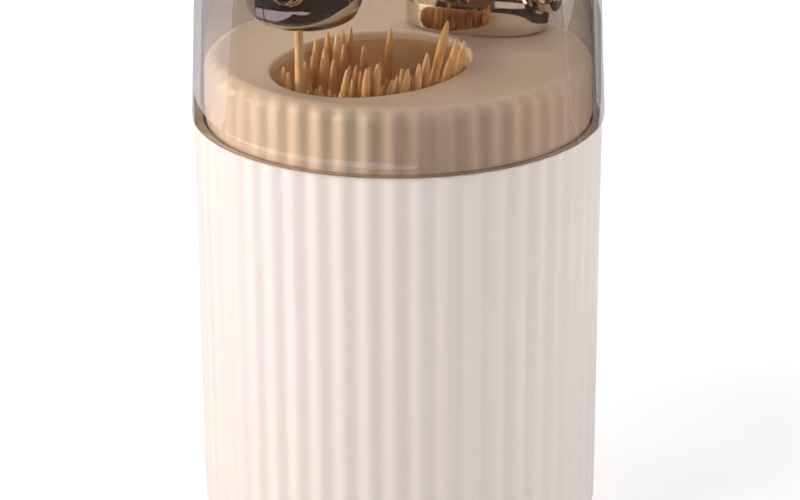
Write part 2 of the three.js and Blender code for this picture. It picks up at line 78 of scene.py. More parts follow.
# ------------------------------------------------------------------ camera, as the photograph was taken
def aim_camera():
    cam_data = bpy.data.cameras.new("camera")
    cam_data.sensor_width = 36.0
    cam_data.lens = 3602.0 * 36.0 / 800.0
    cam_data.clip_start, cam_data.clip_end = 0.05, 20.0
    cam = bpy.data.objects.new("camera", cam_data)
    scene.collection.objects.link(cam)
    az, dist, rise = rad(45.0), 697.3, 232.5
    yaw, pitch, roll = math.atan(1.17 / 3602.0), rad(20.637), rad(-0.237)
    # seen from behind the camera: right, up and forward, before the turn about Z
    fw = Vector((math.sin(yaw) * math.cos(pitch), math.cos(yaw) * math.cos(pitch), -math.sin(pitch)))
    r = fw.cross(Vector((0, 0, 1))).normalized()
    u = r.cross(fw)
    right = math.cos(roll) * r + math.sin(roll) * u
    up = -math.sin(roll) * r + math.cos(roll) * u
    m = Matrix((right, up, -fw)).transposed()
    turn = Matrix.Rotation(az, 3, "Z")
    m = turn @ m
    loc = turn @ Vector((0, -dist, rise)) + Vector((0, 0, SEAM))
    cam.matrix_world = Matrix.Translation(loc * MM) @ m.to_4x4()
    scene.camera = cam
    return cam


aim_camera()


# ------------------------------------------------------------------ mesh helpers
def piece(name, verts, faces, body, material, replaces=(), slot=None, sharp=38.0, flat=False):
    """A mesh piece from points in millimetres, with smooth faces and sharp edges by angle."""
    me = bpy.data.meshes.new(name)
    me.from_pydata((np.asarray(verts, float) * MM).tolist(), [], [tuple(int(i) for i in f) for f in faces])
    me.update()
    ob = bpy.data.objects.new(name, me)
    scene.collection.objects.link(ob)
    settle(ob, sharp, flat)
    if material is not None:
        me.materials.append(material)
    if body:
        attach(ob, body)
        if replaces:
            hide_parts(*replaces)
    return ob


def settle(ob, sharp=38.0, flat=False):
    """Faces out, smooth shading, and edges over the given angle left sharp."""
    bm = bmesh.new()
    bm.from_mesh(ob.data)
    bmesh.ops.remove_doubles(bm, verts=bm.verts, dist=2e-7)
    bmesh.ops.recalc_face_normals(bm, faces=bm.faces)
    for f in bm.faces:
        f.smooth = not flat
    lim = rad(sharp)
    for e in bm.edges:
        e.smooth = not (len(e.link_faces) == 2 and e.calc_face_angle(0.0) > lim)
    bm.to_mesh(ob.data)
    bm.free()
    ob.data.update()


def loft(rings, close_rings=True, cap0=False, cap1=False, torus=False):
    """Quads between closed rings of equal length. torus joins the last ring to the first."""
    rings = [np.asarray(r, float) for r in rings]
    n, m = len(rings[0]), len(rings)
    verts = np.concatenate(rings)
    faces = []
    for j in range(m if torus else m - 1):
        k = (j + 1) % m
        for i in range(n if close_rings else n - 1):
            i2 = (i + 1) % n
            faces.append((j * n + i, j * n + i2, k * n + i2, k * n + i))
    verts = list(map(tuple, verts))
    for flag, j in ((cap0, 0), (cap1, m - 1)):
        if flag:
            verts.append(tuple(np.mean(rings[j], axis=0)))
            c = len(verts) - 1
            faces += [(c, j * n + (i + 1) % n, j * n + i) for i in range(n)]
    return verts, faces


def arc(cx, cz, r, a0, a1, n):
    return [(cx + r * math.cos(rad(a0 + (a1 - a0) * i / n)), cz + r * math.sin(rad(a0 + (a1 - a0) * i / n))) for i in range(n + 1)]


def round_profile(points, seg=4):
    """Corners of a profile rounded: each point is (r, z) or (r, z, radius)."""
    out = []
    for i, p in enumerate(points):
        rr = p[2] if len(p) > 2 else 0.0
        if rr <= 0 or i in (0, len(points) - 1):
            out.append((p[0], p[1]))
            continue
        P = np.array(p[:2], float)
        A, B = np.array(points[i - 1][:2], float) - P, np.array(points[i + 1][:2], float) - P
        la, lb = np.linalg.norm(A), np.linalg.norm(B)
        A, B = A / la, B / lb
        ang = math.acos(max(-1, min(1, float(A @ B))))
        t = min(rr / math.tan(ang / 2), 0.49 * la, 0.49 * lb)
        r2 = t * math.tan(ang / 2)
        c = P + (A + B) / np.linalg.norm(A + B) * (r2 / math.sin(ang / 2))
        s, e = P + A * t - c, P + B * t - c
        a0, a1 = math.atan2(s[1], s[0]), math.atan2(e[1], e[0])
        d = (a1 - a0 + math.pi) % (2 * math.pi) - math.pi
        for k in range(seg + 1):
            a = a0 + d * k / seg
            out.append((c[0] + r2 * math.cos(a), c[1] + r2 * math.sin(a)))
    return out


def lathe(profile, seg=96, phase=0.0):
    """Turned solid about Z from (r, z) points; ends on the axis or closes on itself."""
    verts, faces = [], []
    rows = []
    for r, z in profile:
        if r < 1e-6:
            verts.append((0.0, 0.0, z))
            rows.append([len(verts) - 1])
        else:
            base = len(verts)
            for i in range(seg):
                a = phase + 2 * math.pi * i / seg
                verts.append((r * math.cos(a), r * math.sin(a), z))
            rows.append(list(range(base, base + seg)))
    for a, b in zip(rows[:-1], rows[1:]):
        if len(a) == 1 and len(b) == 1:
            continue
        for i in range(seg):
            k = (i + 1) % seg
            if len(a) == 1:
                faces.append((a[0], b[k], b[i]))
            elif len(b) == 1:
                faces.append((a[i], a[k], b[0]))
            else:
                faces.append((a[i], a[k], b[k], b[i]))
    return verts, faces


def moved(verts, m):
    v = np.asarray(verts, float)
    m = np.asarray(m, float)
    return v @ m[:3, :3].T + m[:3, 3]


def join(parts):
    verts, faces = [], []
    for v, f in parts:
        o = len(verts)
        verts += [tuple(x) for x in v]
        faces += [tuple(i + o for i in q) for q in f]
    return verts, faces


def cutter(verts, faces):
    me = bpy.data.meshes.new("cutter")
    me.from_pydata((np.asarray(verts, float) * MM).tolist(), [], [tuple(int(i) for i in f) for f in faces])
    bm = bmesh.new()
    bm.from_mesh(me)
    bmesh.ops.recalc_face_normals(bm, faces=bm.faces)
    bm.to_mesh(me)
    bm.free()
    ob = bpy.data.objects.new("cutter", me)
    scene.collection.objects.link(ob)
    return ob


def subtract(ob, cutters, sharp=38.0):
    """Exact boolean cuts applied to the mesh, then the cutters are removed."""
    for c in cutters:
        mod = ob.modifiers.new("cut", "BOOLEAN")
        mod.operation, mod.object, mod.solver = "DIFFERENCE", c, "EXACT"
    dg = bpy.context.evaluated_depsgraph_get()
    me = bpy.data.meshes.new_from_object(ob.evaluated_get(dg))
    ob.modifiers.clear()
    old = ob.data
    ob.data = me
    bpy.data.meshes.remove(old)
    for c in cutters:
        bpy.data.objects.remove(c)
    settle(ob, sharp)


def cylinder(r, z0, z1, seg=48, x=0.0, y=0.0):
    v, f = lathe([(0, z0), (r, z0), (r, z1), (0, z1)], seg)
    return moved(v, Matrix.Translation((x, y, 0))), f


def cylinder_x(r, x0, x1, y, z, seg=48):
    v, f = lathe([(0, x0), (r, x0), (r, x1), (0, x1)], seg)
    v = np.asarray(v)
    return np.c_[v[:, 2], v[:, 0] + y, v[:, 1] + z], f


def brick(x0, x1, y0, y1, z0, z1):
    v = [(x, y, z) for z in (z0, z1) for y in (y0, y1) for x in (x0, x1)]
    return v, [(0, 1, 3, 2), (4, 6, 7, 5), (0, 4, 5, 1), (2, 3, 7, 6), (0, 2, 6, 4), (1, 5, 7, 3)]


# ------------------------------------------------------------------ material helpers
class Tree:
    """Small helper that adds linked shader nodes."""

    def __init__(self, name):
        self.mat = bpy.data.materials.new(name)
        self.mat.use_nodes = True
        self.nt = self.mat.node_tree
        self.nt.nodes.clear()
        self.out = self.nt.nodes.new("ShaderNodeOutputMaterial")

    def add(self, kind, inputs=None, **props):
        n = self.nt.nodes.new("ShaderNode" + kind)
        for k, v in props.items():
            setattr(n, k, v)
        for k, v in (inputs or {}).items():
            if isinstance(v, bpy.types.NodeSocket):
                self.nt.links.new(v, n.inputs[k])
            else:
                n.inputs[k].default_value = v
        return n

    def math(self, op, a, b=0.0, clamp=False):
        return self.add("Math", {0: a, 1: b}, operation=op, use_clamp=clamp).outputs[0]

    def mix(self, fac, a, b, blend="MIX"):
        n = self.add("Mix", {0: fac, 6: a, 7: b}, data_type="RGBA", blend_type=blend)
        return n.outputs[2]

    def noise(self, scale, detail=3.0, rough=0.5, vec=None, distortion=0.0):
        i = {"Scale": scale, "Detail": detail, "Roughness": rough, "Distortion": distortion}
        if vec is not None:
            i["Vector"] = vec
        return self.add("TexNoise", i).outputs[0]

    def ramp(self, fac, stops):
        n = self.add("ValToRGB", {0: fac})
        e = n.color_ramp.elements
        while len(e) > len(stops):
            e.remove(e[-1])
        while len(e) < len(stops):
            e.new(0.5)
        for s, (p, c) in zip(e, stops):
            s.position = p
            s.color = c if len(c) == 4 else (*c, 1.0)
        return n.outputs[0]

    def range(self, v, a, b, c, d, clamp=True):
        return self.add("MapRange", {0: v, 1: a, 2: b, 3: c, 4: d}, clamp=clamp).outputs[0]

    def bump(self, height, strength, distance, normal=None):
        i = {"Height": height, "Strength": strength, "Distance": distance}
        if normal is not None:
            i["Normal"] = normal
        return self.add("Bump", i).outputs[0]

    def finish(self, shader):
        self.nt.links.new(shader, self.out.inputs[0])
        return self.mat


def coords(t, scale=(1, 1, 1)):
    c = t.add("TexCoord").outputs["Object"]
    if scale == (1, 1, 1):
        return c
    return t.add("Mapping", {"Vector": c, "Scale": scale}).outputs[0]


def pot_plastic(name="pot_plastic", tint=(0.935, 0.832, 0.775), fluted=True):
    t = Tree(name)
    c = coords(t)
    cloud = t.noise(18.0, 4.0, 0.55, c)
    fine = t.noise(1100.0, 2.0, 0.5, c)
    streak = t.noise(140.0, 2.0, 0.5, coords(t, (1, 1, 0.06)))
    base = t.mix(t.range(cloud, 0.3, 0.7, 0.0, 1.0), (*[x * 0.985 for x in tint], 1), (min(1, tint[0] * 1.015), tint[1] * 1.012, tint[2] * 1.004, 1))
    base = t.mix(t.range(streak, 0.55, 0.8, 0.0, 0.10), base, (tint[0] * 0.95, tint[1] * 0.93, tint[2] * 0.90, 1))
    if fluted:
        sep = t.add("SeparateXYZ", {0: c})
        ang = t.math("ARCTAN2", sep.outputs[1], sep.outputs[0])
        wave = t.math("COSINE", t.math("MULTIPLY", t.math("SUBTRACT", ang, rad(FLUTE_PHASE)), float(FLUTES)))
        # painted shade: the flute valleys are darkened and warmed where shade falls in them
        painted_valley_shade = t.range(wave, -1.0, -0.2, 1.0, 0.0)
        base = t.mix(t.math("MULTIPLY", painted_valley_shade, 0.16), base, (tint[0] * 0.90, tint[1] * 0.85, tint[2] * 0.79, 1))
    rough = t.range(t.noise(60.0, 3.0, 0.6, c), 0.3, 0.7, 0.315, 0.38)
    rough = t.math("ADD", rough, t.range(t.noise(900.0, 2.0, 0.5, c), 0.4, 0.6, -0.012, 0.02))
    nrm = t.bump(fine, 0.06, 0.00005)
    nrm = t.bump(t.noise(40.0, 2.0, 0.5, c), 0.06, 0.0006, nrm)
    p = t.add("BsdfPrincipled", {"Base Color": base, "Roughness": rough, "Normal": nrm})
    p.inputs["IOR"].default_value = 1.49
    return t.finish(p.outputs[0])


def chrome(name, tint=(0.80, 0.80, 0.83), rough=0.045, smudge=0.05):
    t = Tree(name)
    c = coords(t)
    cloud = t.noise(45.0, 4.0, 0.6, c)
    haze = t.noise(230.0, 4.0, 0.65, c, 0.6)
    rgh = t.math("ADD", rough, t.math("MULTIPLY", t.range(haze, 0.52, 0.75, 0.0, 1.0), smudge))
    scr = t.noise(900.0, 2.0, 0.7, coords(t, (0.25, 3.0, 1.0)))
    rgh = t.math("ADD", rgh, t.range(scr, 0.66, 0.74, 0.0, 0.035))
    col = t.mix(t.range(cloud, 0.3, 0.7, 0.0, 1.0), (*[x * 0.97 for x in tint], 1), (*tint, 1))
    nrm = t.bump(t.noise(70.0, 3.0, 0.5, c), 0.05, 0.0005)
    nrm = t.bump(scr, 0.02, 0.00004, nrm)
    p = t.add("BsdfPrincipled", {"Base Color": col, "Roughness": rgh, "Normal": nrm})
    p.inputs["Metallic"].default_value = 1.0
    return t.finish(p.outputs[0])


def steel(name="zinc_steel", tint=(0.62, 0.62, 0.60), rough=0.37, along=(1, 1, 0.05)):
    t = Tree(name)
    grain = t.noise(1600.0, 3.0, 0.6, coords(t, along))
    cloud = t.noise(120.0, 4.0, 0.6, coords(t))
    col = t.mix(t.range(cloud, 0.35, 0.65, 0.0, 1.0), (tint[0] * 0.88, tint[1] * 0.88, tint[2] * 0.86, 1), (*tint, 1))
    rgh = t.math("ADD", t.range(grain, 0.3, 0.7, rough - 0.06, rough + 0.07), t.range(cloud, 0.5, 0.7, 0.0, 0.05))
    p = t.add("BsdfPrincipled", {"Base Color": col, "Roughness": rgh, "Normal": t.bump(grain, 0.12, 0.00004)})
    p.inputs["Metallic"].default_value = 1.0
    return t.finish(p.outputs[0])


def gold(name="gold_plate"):
    t = Tree(name)
    c = coords(t)
    cloud = t.noise(400.0, 3.0, 0.6, c)
    col = t.mix(t.range(cloud, 0.35, 0.65, 0.0, 1.0), (0.83, 0.58, 0.30, 1), (0.93, 0.70, 0.42, 1))
    rgh = t.range(t.noise(900.0, 3.0, 0.6, c), 0.35, 0.7, 0.10, 0.22)
    p = t.add("BsdfPrincipled", {"Base Color": col, "Roughness": rgh, "Normal": t.bump(cloud, 0.06, 0.00008)})
    p.inputs["Metallic"].default_value = 1.0
    return t.finish(p.outputs[0])


def rubber(name, tint, rough=0.78):
    t = Tree(name)
    c = coords(t)
    grit = t.noise(1800.0, 3.0, 0.6, c)
    dust = t.noise(260.0, 4.0, 0.6, c)
    col = t.mix(t.range(dust, 0.45, 0.75, 0.0, 0.45), (*tint, 1), (*[min(1, x * 1.7 + 0.02) for x in tint], 1))
    p = t.add("BsdfPrincipled", {"Base Color": col, "Roughness": t.range(grit, 0.3, 0.7, rough - 0.08, rough + 0.08), "Normal": t.bump(grit, 0.25, 0.00008)})
    return t.finish(p.outputs[0])


def bamboo():
    t = Tree("bamboo")
    c = coords(t)
    # the shade attribute: a random tone for each pick, plus painted light on the lifted pick and painted shade on the
    # lower fill
    tone_light_and_shade = t.add("Attribute", attribute_name="shade").outputs["Fac"]
    along = t.add("Attribute", attribute_name="along").outputs["Fac"]
    fibre = t.noise(1500.0, 4.0, 0.65, coords(t, (1, 1, 0.035)))
    fleck = t.noise(700.0, 3.0, 0.6, coords(t, (1, 1, 0.12)))
    base = t.ramp(tone_light_and_shade, [(0.0, (0.70, 0.400, 0.165)), (0.35, (0.82, 0.510, 0.235)), (0.7, (0.90, 0.610, 0.310)), (1.0, (0.95, 0.720, 0.430))])
    base = t.mix(t.range(fibre, 0.42, 0.68, 0.0, 0.45), base, (0.74, 0.50, 0.26, 1), "MULTIPLY")
    base = t.mix(t.range(fleck, 0.60, 0.74, 0.0, 0.40), base, (0.55, 0.29, 0.10, 1))
    base = t.mix(t.range(along, 0.93, 1.0, 0.0, 0.35), base, (0.95, 0.76, 0.50, 1))
    nrm = t.bump(fibre, 0.45, 0.00012)
    p = t.add("BsdfPrincipled", {"Base Color": base, "Roughness": t.range(fibre, 0.3, 0.7, 0.48, 0.66), "Normal": nrm})
    p.inputs["Subsurface Weight"].default_value = 0.08
    p.inputs["Subsurface Radius"].default_value = (1.0, 0.55, 0.3)
    p.inputs["Subsurface Scale"].default_value = 0.0008
    return t.finish(p.outputs[0])


def smoke_clear():
    """Clear smoke-tinted moulded plastic: each wall is crossed at two faces, so each face has half of the tint."""
    t = Tree("smoke_clear")
    c = coords(t)
    flow = t.noise(9.0, 2.0, 0.5, coords(t, (1, 1, 0.35)), 0.3)
    tint = t.mix(t.range(flow, 0.3, 0.7, 0.0, 1.0), (0.742, 0.694, 0.650, 1), (0.758, 0.708, 0.664, 1))
    facing = t.add("LayerWeight", {"Blend": 0.5}).outputs["Facing"]
    # a slanting way through the wall is longer, so its tint is a little deeper
    tint = t.mix(t.math("MULTIPLY", t.math("POWER", facing, 2.0), 0.45), tint, (0.64, 0.60, 0.58, 1))
    # the plastic gathers light from all round, so what stands in it is lit almost in full
    shaded = t.add("LightPath").outputs["Is Shadow Ray"]
    tint = t.mix(shaded, tint, (1.0, 0.98, 0.905, 1))
    ripple = t.bump(t.noise(26.0, 2.0, 0.5, c), 0.05, 0.0009)
    ripple = t.bump(t.noise(1500.0, 2.0, 0.5, c), 0.02, 0.00003, ripple)
    haze = t.range(t.noise(180.0, 4.0, 0.65, c), 0.5, 0.8, 0.02, 0.06)
    clear = t.add("BsdfTransparent", {"Color": tint})
    film = t.add("BsdfPrincipled", {"Base Color": (0.45, 0.43, 0.42, 1), "Roughness": 0.5, "Normal": ripple})
    rim_tone = t.mix(t.math("POWER", facing, 2.0), (0.95, 0.95, 1.0, 1), (0.47, 0.465, 0.52, 1))
    shine = t.add("BsdfGlossy", {"Color": rim_tone, "Roughness": haze, "Normal": ripple}, distribution="GGX")
    # share of mirrored light at one face, the same from inside and outside
    fres = t.math("ADD", 0.040, t.math("MULTIPLY", t.math("POWER", facing, 4.0), 0.85), True)
    body = t.add("MixShader", {0: fres, 1: clear.outputs[0], 2: shine.outputs[0]})
    dust = t.range(t.noise(75.0, 5.0, 0.7, c), 0.55, 0.9, 0.004, 0.03)
    return t.finish(t.add("MixShader", {0: dust, 1: body.outputs[0], 2: film.outputs[0]}).outputs[0])


def smoke_edge():
    """The cover's plastic where it is seen along the wall."""
    t = Tree("smoke_edge")
    c = coords(t)
    tint = t.mix(t.range(t.noise(60.0, 3.0, 0.5, c), 0.3, 0.7, 0.0, 1.0), (0.50, 0.45, 0.40, 1), (0.62, 0.57, 0.52, 1))
    clear = t.add("BsdfTransparent", {"Color": tint})
    shine = t.add("BsdfGlossy", {"Color": (0.75, 0.74, 0.76, 1), "Roughness": t.range(t.noise(400.0, 3.0, 0.5, c), 0.3, 0.7, 0.06, 0.12)}, distribution="GGX")
    return t.finish(t.add("MixShader", {0: 0.07, 1: clear.outputs[0], 2: shine.outputs[0]}).outputs[0])


def crystal():
    t = Tree("crystal")
    c = coords(t)
    n = t.bump(t.noise(300.0, 2.0, 0.5, c), 0.03, 0.0001)
    col = t.mix(t.range(t.noise(500.0, 2.0, 0.5, c), 0.35, 0.65, 0.0, 1.0), (0.93, 0.95, 0.99, 1), (0.99, 0.99, 1.0, 1))
    p = t.add("BsdfPrincipled", {"Base Color": col, "Roughness": t.range(t.noise(800.0, 2.0, 0.5, c), 0.4, 0.7, 0.0, 0.03), "Normal": n})
    p.inputs["Transmission Weight"].default_value = 1.0
    p.inputs["IOR"].default_value = 1.58
    return t.finish(p.outputs[0])


M_POT = pot_plastic()
M_CUP = pot_plastic("cup_plastic", (0.86, 0.60, 0.37), False)
M_CHROME = chrome("chrome_plate", (0.78, 0.69, 0.60), 0.075)
M_BIRD = chrome("bird_chrome", (0.60, 0.585, 0.60))
M_STEEL = steel()
M_SPRING = steel("spring_steel", (0.52, 0.52, 0.52), 0.36, (1, 1, 1))
M_GOLD = gold()
M_FOOT = rubber("foot_rubber", (0.11, 0.105, 0.10))
M_GRIP = rubber("grip_silicone", (0.30, 0.29, 0.28), 0.55)
M_BAMBOO = bamboo()
M_SMOKE = smoke_clear()
M_EDGE = smoke_edge()
M_GEM = crystal()


# ------------------------------------------------------------------ pot
def fluted_rings(rings, n):
    """Rings of n points from (radius, height, share of the flutes)."""
    t = np.arange(n) * 2 * np.pi / n + rad(FLUTE_PHASE)
    out = []
    for r, z, k in rings:
        rr = r + k * FLUTE_DEPTH / 2 * np.cos(FLUTES * (t - rad(FLUTE_PHASE)))
        out.append(np.c_[rr * np.cos(t), rr * np.sin(t), np.full(n, z)])
    return out


def build_pot():
    n = 800
    slope = math.tan(rad(SHELL_DRAFT))
    r_at = lambda z: SHELL_R - (SEAM - z) * slope
    zf = SHELL_FOOT + SHELL_FILLET
    rf = r_at(zf)
    rings = [(6.0, SHELL_FOOT + 0.5, 0), (18.0, SHELL_FOOT + 0.5, 0), (19.0, SHELL_FOOT + 0.35, 0), (19.6, SHELL_FOOT, 0), (rf - SHELL_FILLET - 0.5, SHELL_FOOT, 0)]
    for i, (r, z) in enumerate(arc(rf - SHELL_FILLET, zf, SHELL_FILLET, -90, 0, 14)):
        s = i / 14
        rings.append((r, z, s * s * (3 - 2 * s)))
    for z in (25, 45, 65, 80, SEAM - 0.7):
        rings.append((r_at(z), z, 1.0))
    edge = r_at(SEAM)
    rings += [(edge - 0.02, SEAM - 0.35, 1.0), (edge - 0.14, SEAM - 0.1, 0.95), (edge - 0.38, SEAM, 0.8)]
    lip = CROWN_R + 0.55
    rings += [(lip + 0.25, SEAM, 0.0), (lip + 0.05, SEAM - 0.1, 0.0), (lip, SEAM - 0.3, 0.0), (lip, CROWN_SKIRT - 3, 0.0),
              (r_at(60) - SHELL_WALL - 0.25, 60, 0.0), (rf - SHELL_WALL - 0.25, zf + 2, 0.0), (rf - SHELL_WALL - 2.6, SHELL_FOOT + 4.2, 0.0),
              (rf - SHELL_WALL - 7.5, SHELL_FOOT + 2.2, 0.0), (6.0, SHELL_FOOT + 2.2, 0.0)]
    v, f = loft(fluted_rings(rings, n), cap0=True, cap1=True)
    ob = piece("fluted_pot", v, f, None, M_POT)
    subtract(ob, [cutter(*cylinder(5.3, SHELL_FOOT - 2, SHELL_FOOT + 0.7, 48, 26 * math.cos(rad(a)), 26 * math.sin(rad(a)))) for a in (45, 135, 225, 315)])
    if not ob.data.materials:
        ob.data.materials.append(M_POT)
    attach(ob, "base")
    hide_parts("outer_shell")
    for a, name in ((45, "back_right"), (135, "back_left"), (225, "front_left"), (315, "front_right")):
        prof = round_profile([(0, 0), (3.2, 0), (3.4, 0.25), (4.2, 0.25), (4.4, 0, 0), (4.6, 0.0, 0.1), (5.0, 0.4, 0.2), (5.0, 1.2, 0.1), (0, 1.2)], 3)
        v, f = lathe(prof, 64)
        piece("foot_pad_" + name, moved(v, Matrix.Translation((26 * math.cos(rad(a)), 26 * math.sin(rad(a)), 0))), f, "base", M_FOOT, ("foot_" + name,), "foot_rubber")


def oval(a, b, n, phase=0.0):
    """The mouth's turned oval; point i is roughly at the angle 2 pi i / n + phase."""
    t = np.arange(n) * 2 * np.pi / n + phase - rad(HOLE_TURN)
    x, y = a * np.cos(t), b * np.sin(t)
    c, s = math.cos(rad(HOLE_TURN)), math.sin(rad(HOLE_TURN))
    return np.c_[HOLE_X + x * c - y * s, HOLE_Y + x * s + y * c]


def in_mouth(x, y, margin):
    """How far out a point is in the mouth's oval less a margin: under 1 is inside."""
    c, s = math.cos(rad(HOLE_TURN)), math.sin(rad(HOLE_TURN))
    dx, dy = x - HOLE_X, y - HOLE_Y
    return np.hypot((c * dx + s * dy) / (HOLE_A - margin), (-s * dx + c * dy) / (HOLE_B - margin))


def build_neck():
    n = 800
    ph = rad(FLUTE_PHASE)
    rings = [(CROWN_R - 0.3, CROWN_SKIRT, 0), (CROWN_R, CROWN_SKIRT + 0.3, 0), (CROWN_R, SEAM - 0.4, 0), (CROWN_R, SEAM + 0.3, 1.3), (CROWN_R, 97.0, 1.3)]
    top = arc(CROWN_R - CROWN_FILLET, D - CROWN_FILLET, CROWN_FILLET, 0, 90, 12)
    for i, (r, z) in enumerate(top):
        s = max(0.0, i / 12 - 0.35) / 0.65
        rings.append((r, z, 1.3 * (1 - s * s * (3 - 2 * s))))
    loops = fluted_rings(rings, n)
    outer = loops[-1]
    lipr = 0.7
    inner = np.c_[oval(HOLE_A + lipr, HOLE_B + lipr, n, phase=ph), np.full(n, D)]
    for s in (0.08, 0.2, 0.4, 0.6, 0.8, 0.93, 1.0):
        loops.append(outer * (1 - s) + inner * s)
    for a in (22, 45, 68, 90):
        k = lipr * math.sin(rad(a))
        loops.append(np.c_[oval(HOLE_A + lipr - k, HOLE_B + lipr - k, n, phase=ph), np.full(n, D - lipr * (1 - math.cos(rad(a))))])
    loops.append(np.c_[oval(HOLE_A, HOLE_B, n, phase=ph), np.full(n, D - DECK_T + 0.05)])
    loops.append(np.c_[oval(HOLE_A + 0.05, HOLE_B + 0.05, n, phase=ph), np.full(n, D - DECK_T)])
    under = fluted_rings([(CROWN_R - CROWN_FILLET - 1.0, D - DECK_T, 0), (CROWN_R - CROWN_WALL, D - DECK_T - 1.6, 0), (CROWN_R - CROWN_WALL, CROWN_SKIRT + 0.3, 0), (CROWN_R - CROWN_WALL + 0.3, CROWN_SKIRT, 0)], n)
    loops += under
    v, f = loft(loops, torus=True)
    ob = piece("fluted_neck", v, f, None, M_POT)
    subtract(ob, [cutter(*cylinder(1.6, D - 6, D + 2, 32, x, y)) for x, y in ((-9.0, 21.0), (8.5, 25.5))])
    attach(ob, "base")
    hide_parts("deck_crown")


def build_cup():
    n = 256
    z1 = D - DECK_T - 0.05
    z0 = CUP_FLOOR - CUP_WALL
    def lp(da, db, z):
        return np.c_[oval(HOLE_A + da, HOLE_B + db, n), np.full(n, z)]
    loops = [lp(-6, -6, z0), lp(-1.0, -1.0, z0), lp(0.7, 0.7, z0 + 0.5), lp(CUP_WALL, CUP_WALL, z0 + 1.8), lp(CUP_WALL, CUP_WALL, z1 - 1.8), lp(CUP_WALL + 0.2, CUP_WALL + 0.1, z1 - 1.45),
             lp(3.8, 1.8, z1 - 1.4), lp(4, 1.9, z1 - 1.2), lp(4, 1.9, z1 - 0.2), lp(3.8, 1.8, z1), lp(0.1, 0.1, z1), lp(0.03, 0.03, z1 - 0.03), lp(0, 0, z1 - 0.12),
             lp(0, 0, CUP_FLOOR + 2.5), lp(-0.3, -0.3, CUP_FLOOR + 1.2), lp(-1.1, -1.1, CUP_FLOOR + 0.35), lp(-2.4, -2.4, CUP_FLOOR), lp(-8, -8, CUP_FLOOR)]
    v, f = loft(loops, cap0=True, cap1=True)
    piece("oval_cup", v, f, "base", M_CUP, ("pick_cup",), "cup_plastic")


# ------------------------------------------------------------------ toothpicks
def pick_mesh(length=PICK_LEN, r=PICK_R, seg=12, tip=5.0, blunt=0.30):
    prof = [(0, 0), (blunt * 0.75, 0.04), (blunt, 0.22), (r * 0.55, tip * 0.22), (r * 0.78, tip * 0.5), (r * 0.94, tip * 0.8), (r, tip + 0.8)]
    n = len(prof)
    prof += [(r, length * 0.3), (r, length * 0.5), (r, length * 0.7)]
    prof += [(a, length - z) for a, z in reversed(prof[:n])]
    return lathe(prof, seg)


def place_pick(foot, tip, r, rnd):
    """One pick from its foot to its tip, a little bent and out of round."""
    foot, t = np.array(foot, float), np.array(tip, float)
    length = float(np.linalg.norm(t - foot))
    v, f = pick_mesh(length, r, 12, rnd.uniform(3.8, 5.6), rnd.uniform(0.24, 0.36))
    v = np.asarray(v, float)
    along = v[:, 2] / length
    z = (t - foot) / length
    x = np.cross([0.3, 1, 0.1], z)
    x /= np.linalg.norm(x)
    y = np.cross(z, x)
    a = rnd.random() * 6.28
    x, y = math.cos(a) * x + math.sin(a) * y, -math.sin(a) * x + math.cos(a) * y
    w = foot + v[:, :1] * x + v[:, 1:2] * y * rnd.uniform(0.93, 1.0) + v[:, 2:3] * z + (4 * along * (1 - along))[:, None] * rnd.uniform(-0.2, 0.2) * x
    return w, f, along


# toothpicks that stand out in the load: x and y at the deck, height over it, and how far the foot is to the left of that, seen from the front right
STANDING = [
    (-7.1, -16.9, 1.3, 0.5), (-8.1, -12.8, 1.6, 0.0), (-1.6, -16.6, 1.5, 1.5), (3.9, -17.6, 1.6, 1.6), (3.1, -14.9, 0.8, 1.2), (9.5, -22.3, 1.2, 0.0),
    (7.3, -17.7, 1.3, 0.6), (7.2, -15.1, 1.4, 0.0), (7.0, -12.3, 1.7, 1.6), (-5.6, 3.3, 2.6, 4.0), (-12.6, -11.0, 2.0, 1.0), (-13.6, -6.5, 2.4, 1.5),
    (-12.1, -5.7, 2.0, 1.5), (-12.4, -3.6, 2.3, 2.5), (-12.3, -1.5, 2.6, 4.0), (11.7, -27.6, 0.5, 0.0), (-8.0, -7.5, 1.2, 1.0), (-4.6, -5.2, 1.0, 0.8),
    (-5.8, -15.8, 0.6, 0.0), (-5.9, -20.4, 0.8, 0.0), (-4.4, -26.4, 0.3, 0.0), (-6.9, -25.2, 0.7, 0.0),
    (19.0, -9.3, 12.4, 15.3), (19.3, -11.9, 6.3, 5.4), (19.3, -13.9, 4.6, 4.2), (18.2, -16.2, 3.8, 9.5), (16.6, -17.2, 2.2, 9.0), (17.2, -14.2, 1.7, 11.0),
    (17.1, -19.1, 1.9, 12.0), (18.8, -5.3, 3.9, 14.0), (17.2, -7.0, 2.4, 14.0), (17.0, 0.1, 3.9, 9.9), (15.9, 2.7, 4.8, 6.2), (15.4, 0.3, 3.4, 11.0),
    (18.2, -3.4, 7.2, 10.3), (16.0, -22.0, 5.6, 6.5), (15.2, -24.2, 5.0, 3.3), (12.4, -27.1, 4.6, 9.0), (12.9, -11.8, 1.6, 3.0), (12.3, 4.6, 2.6, 6.0)]


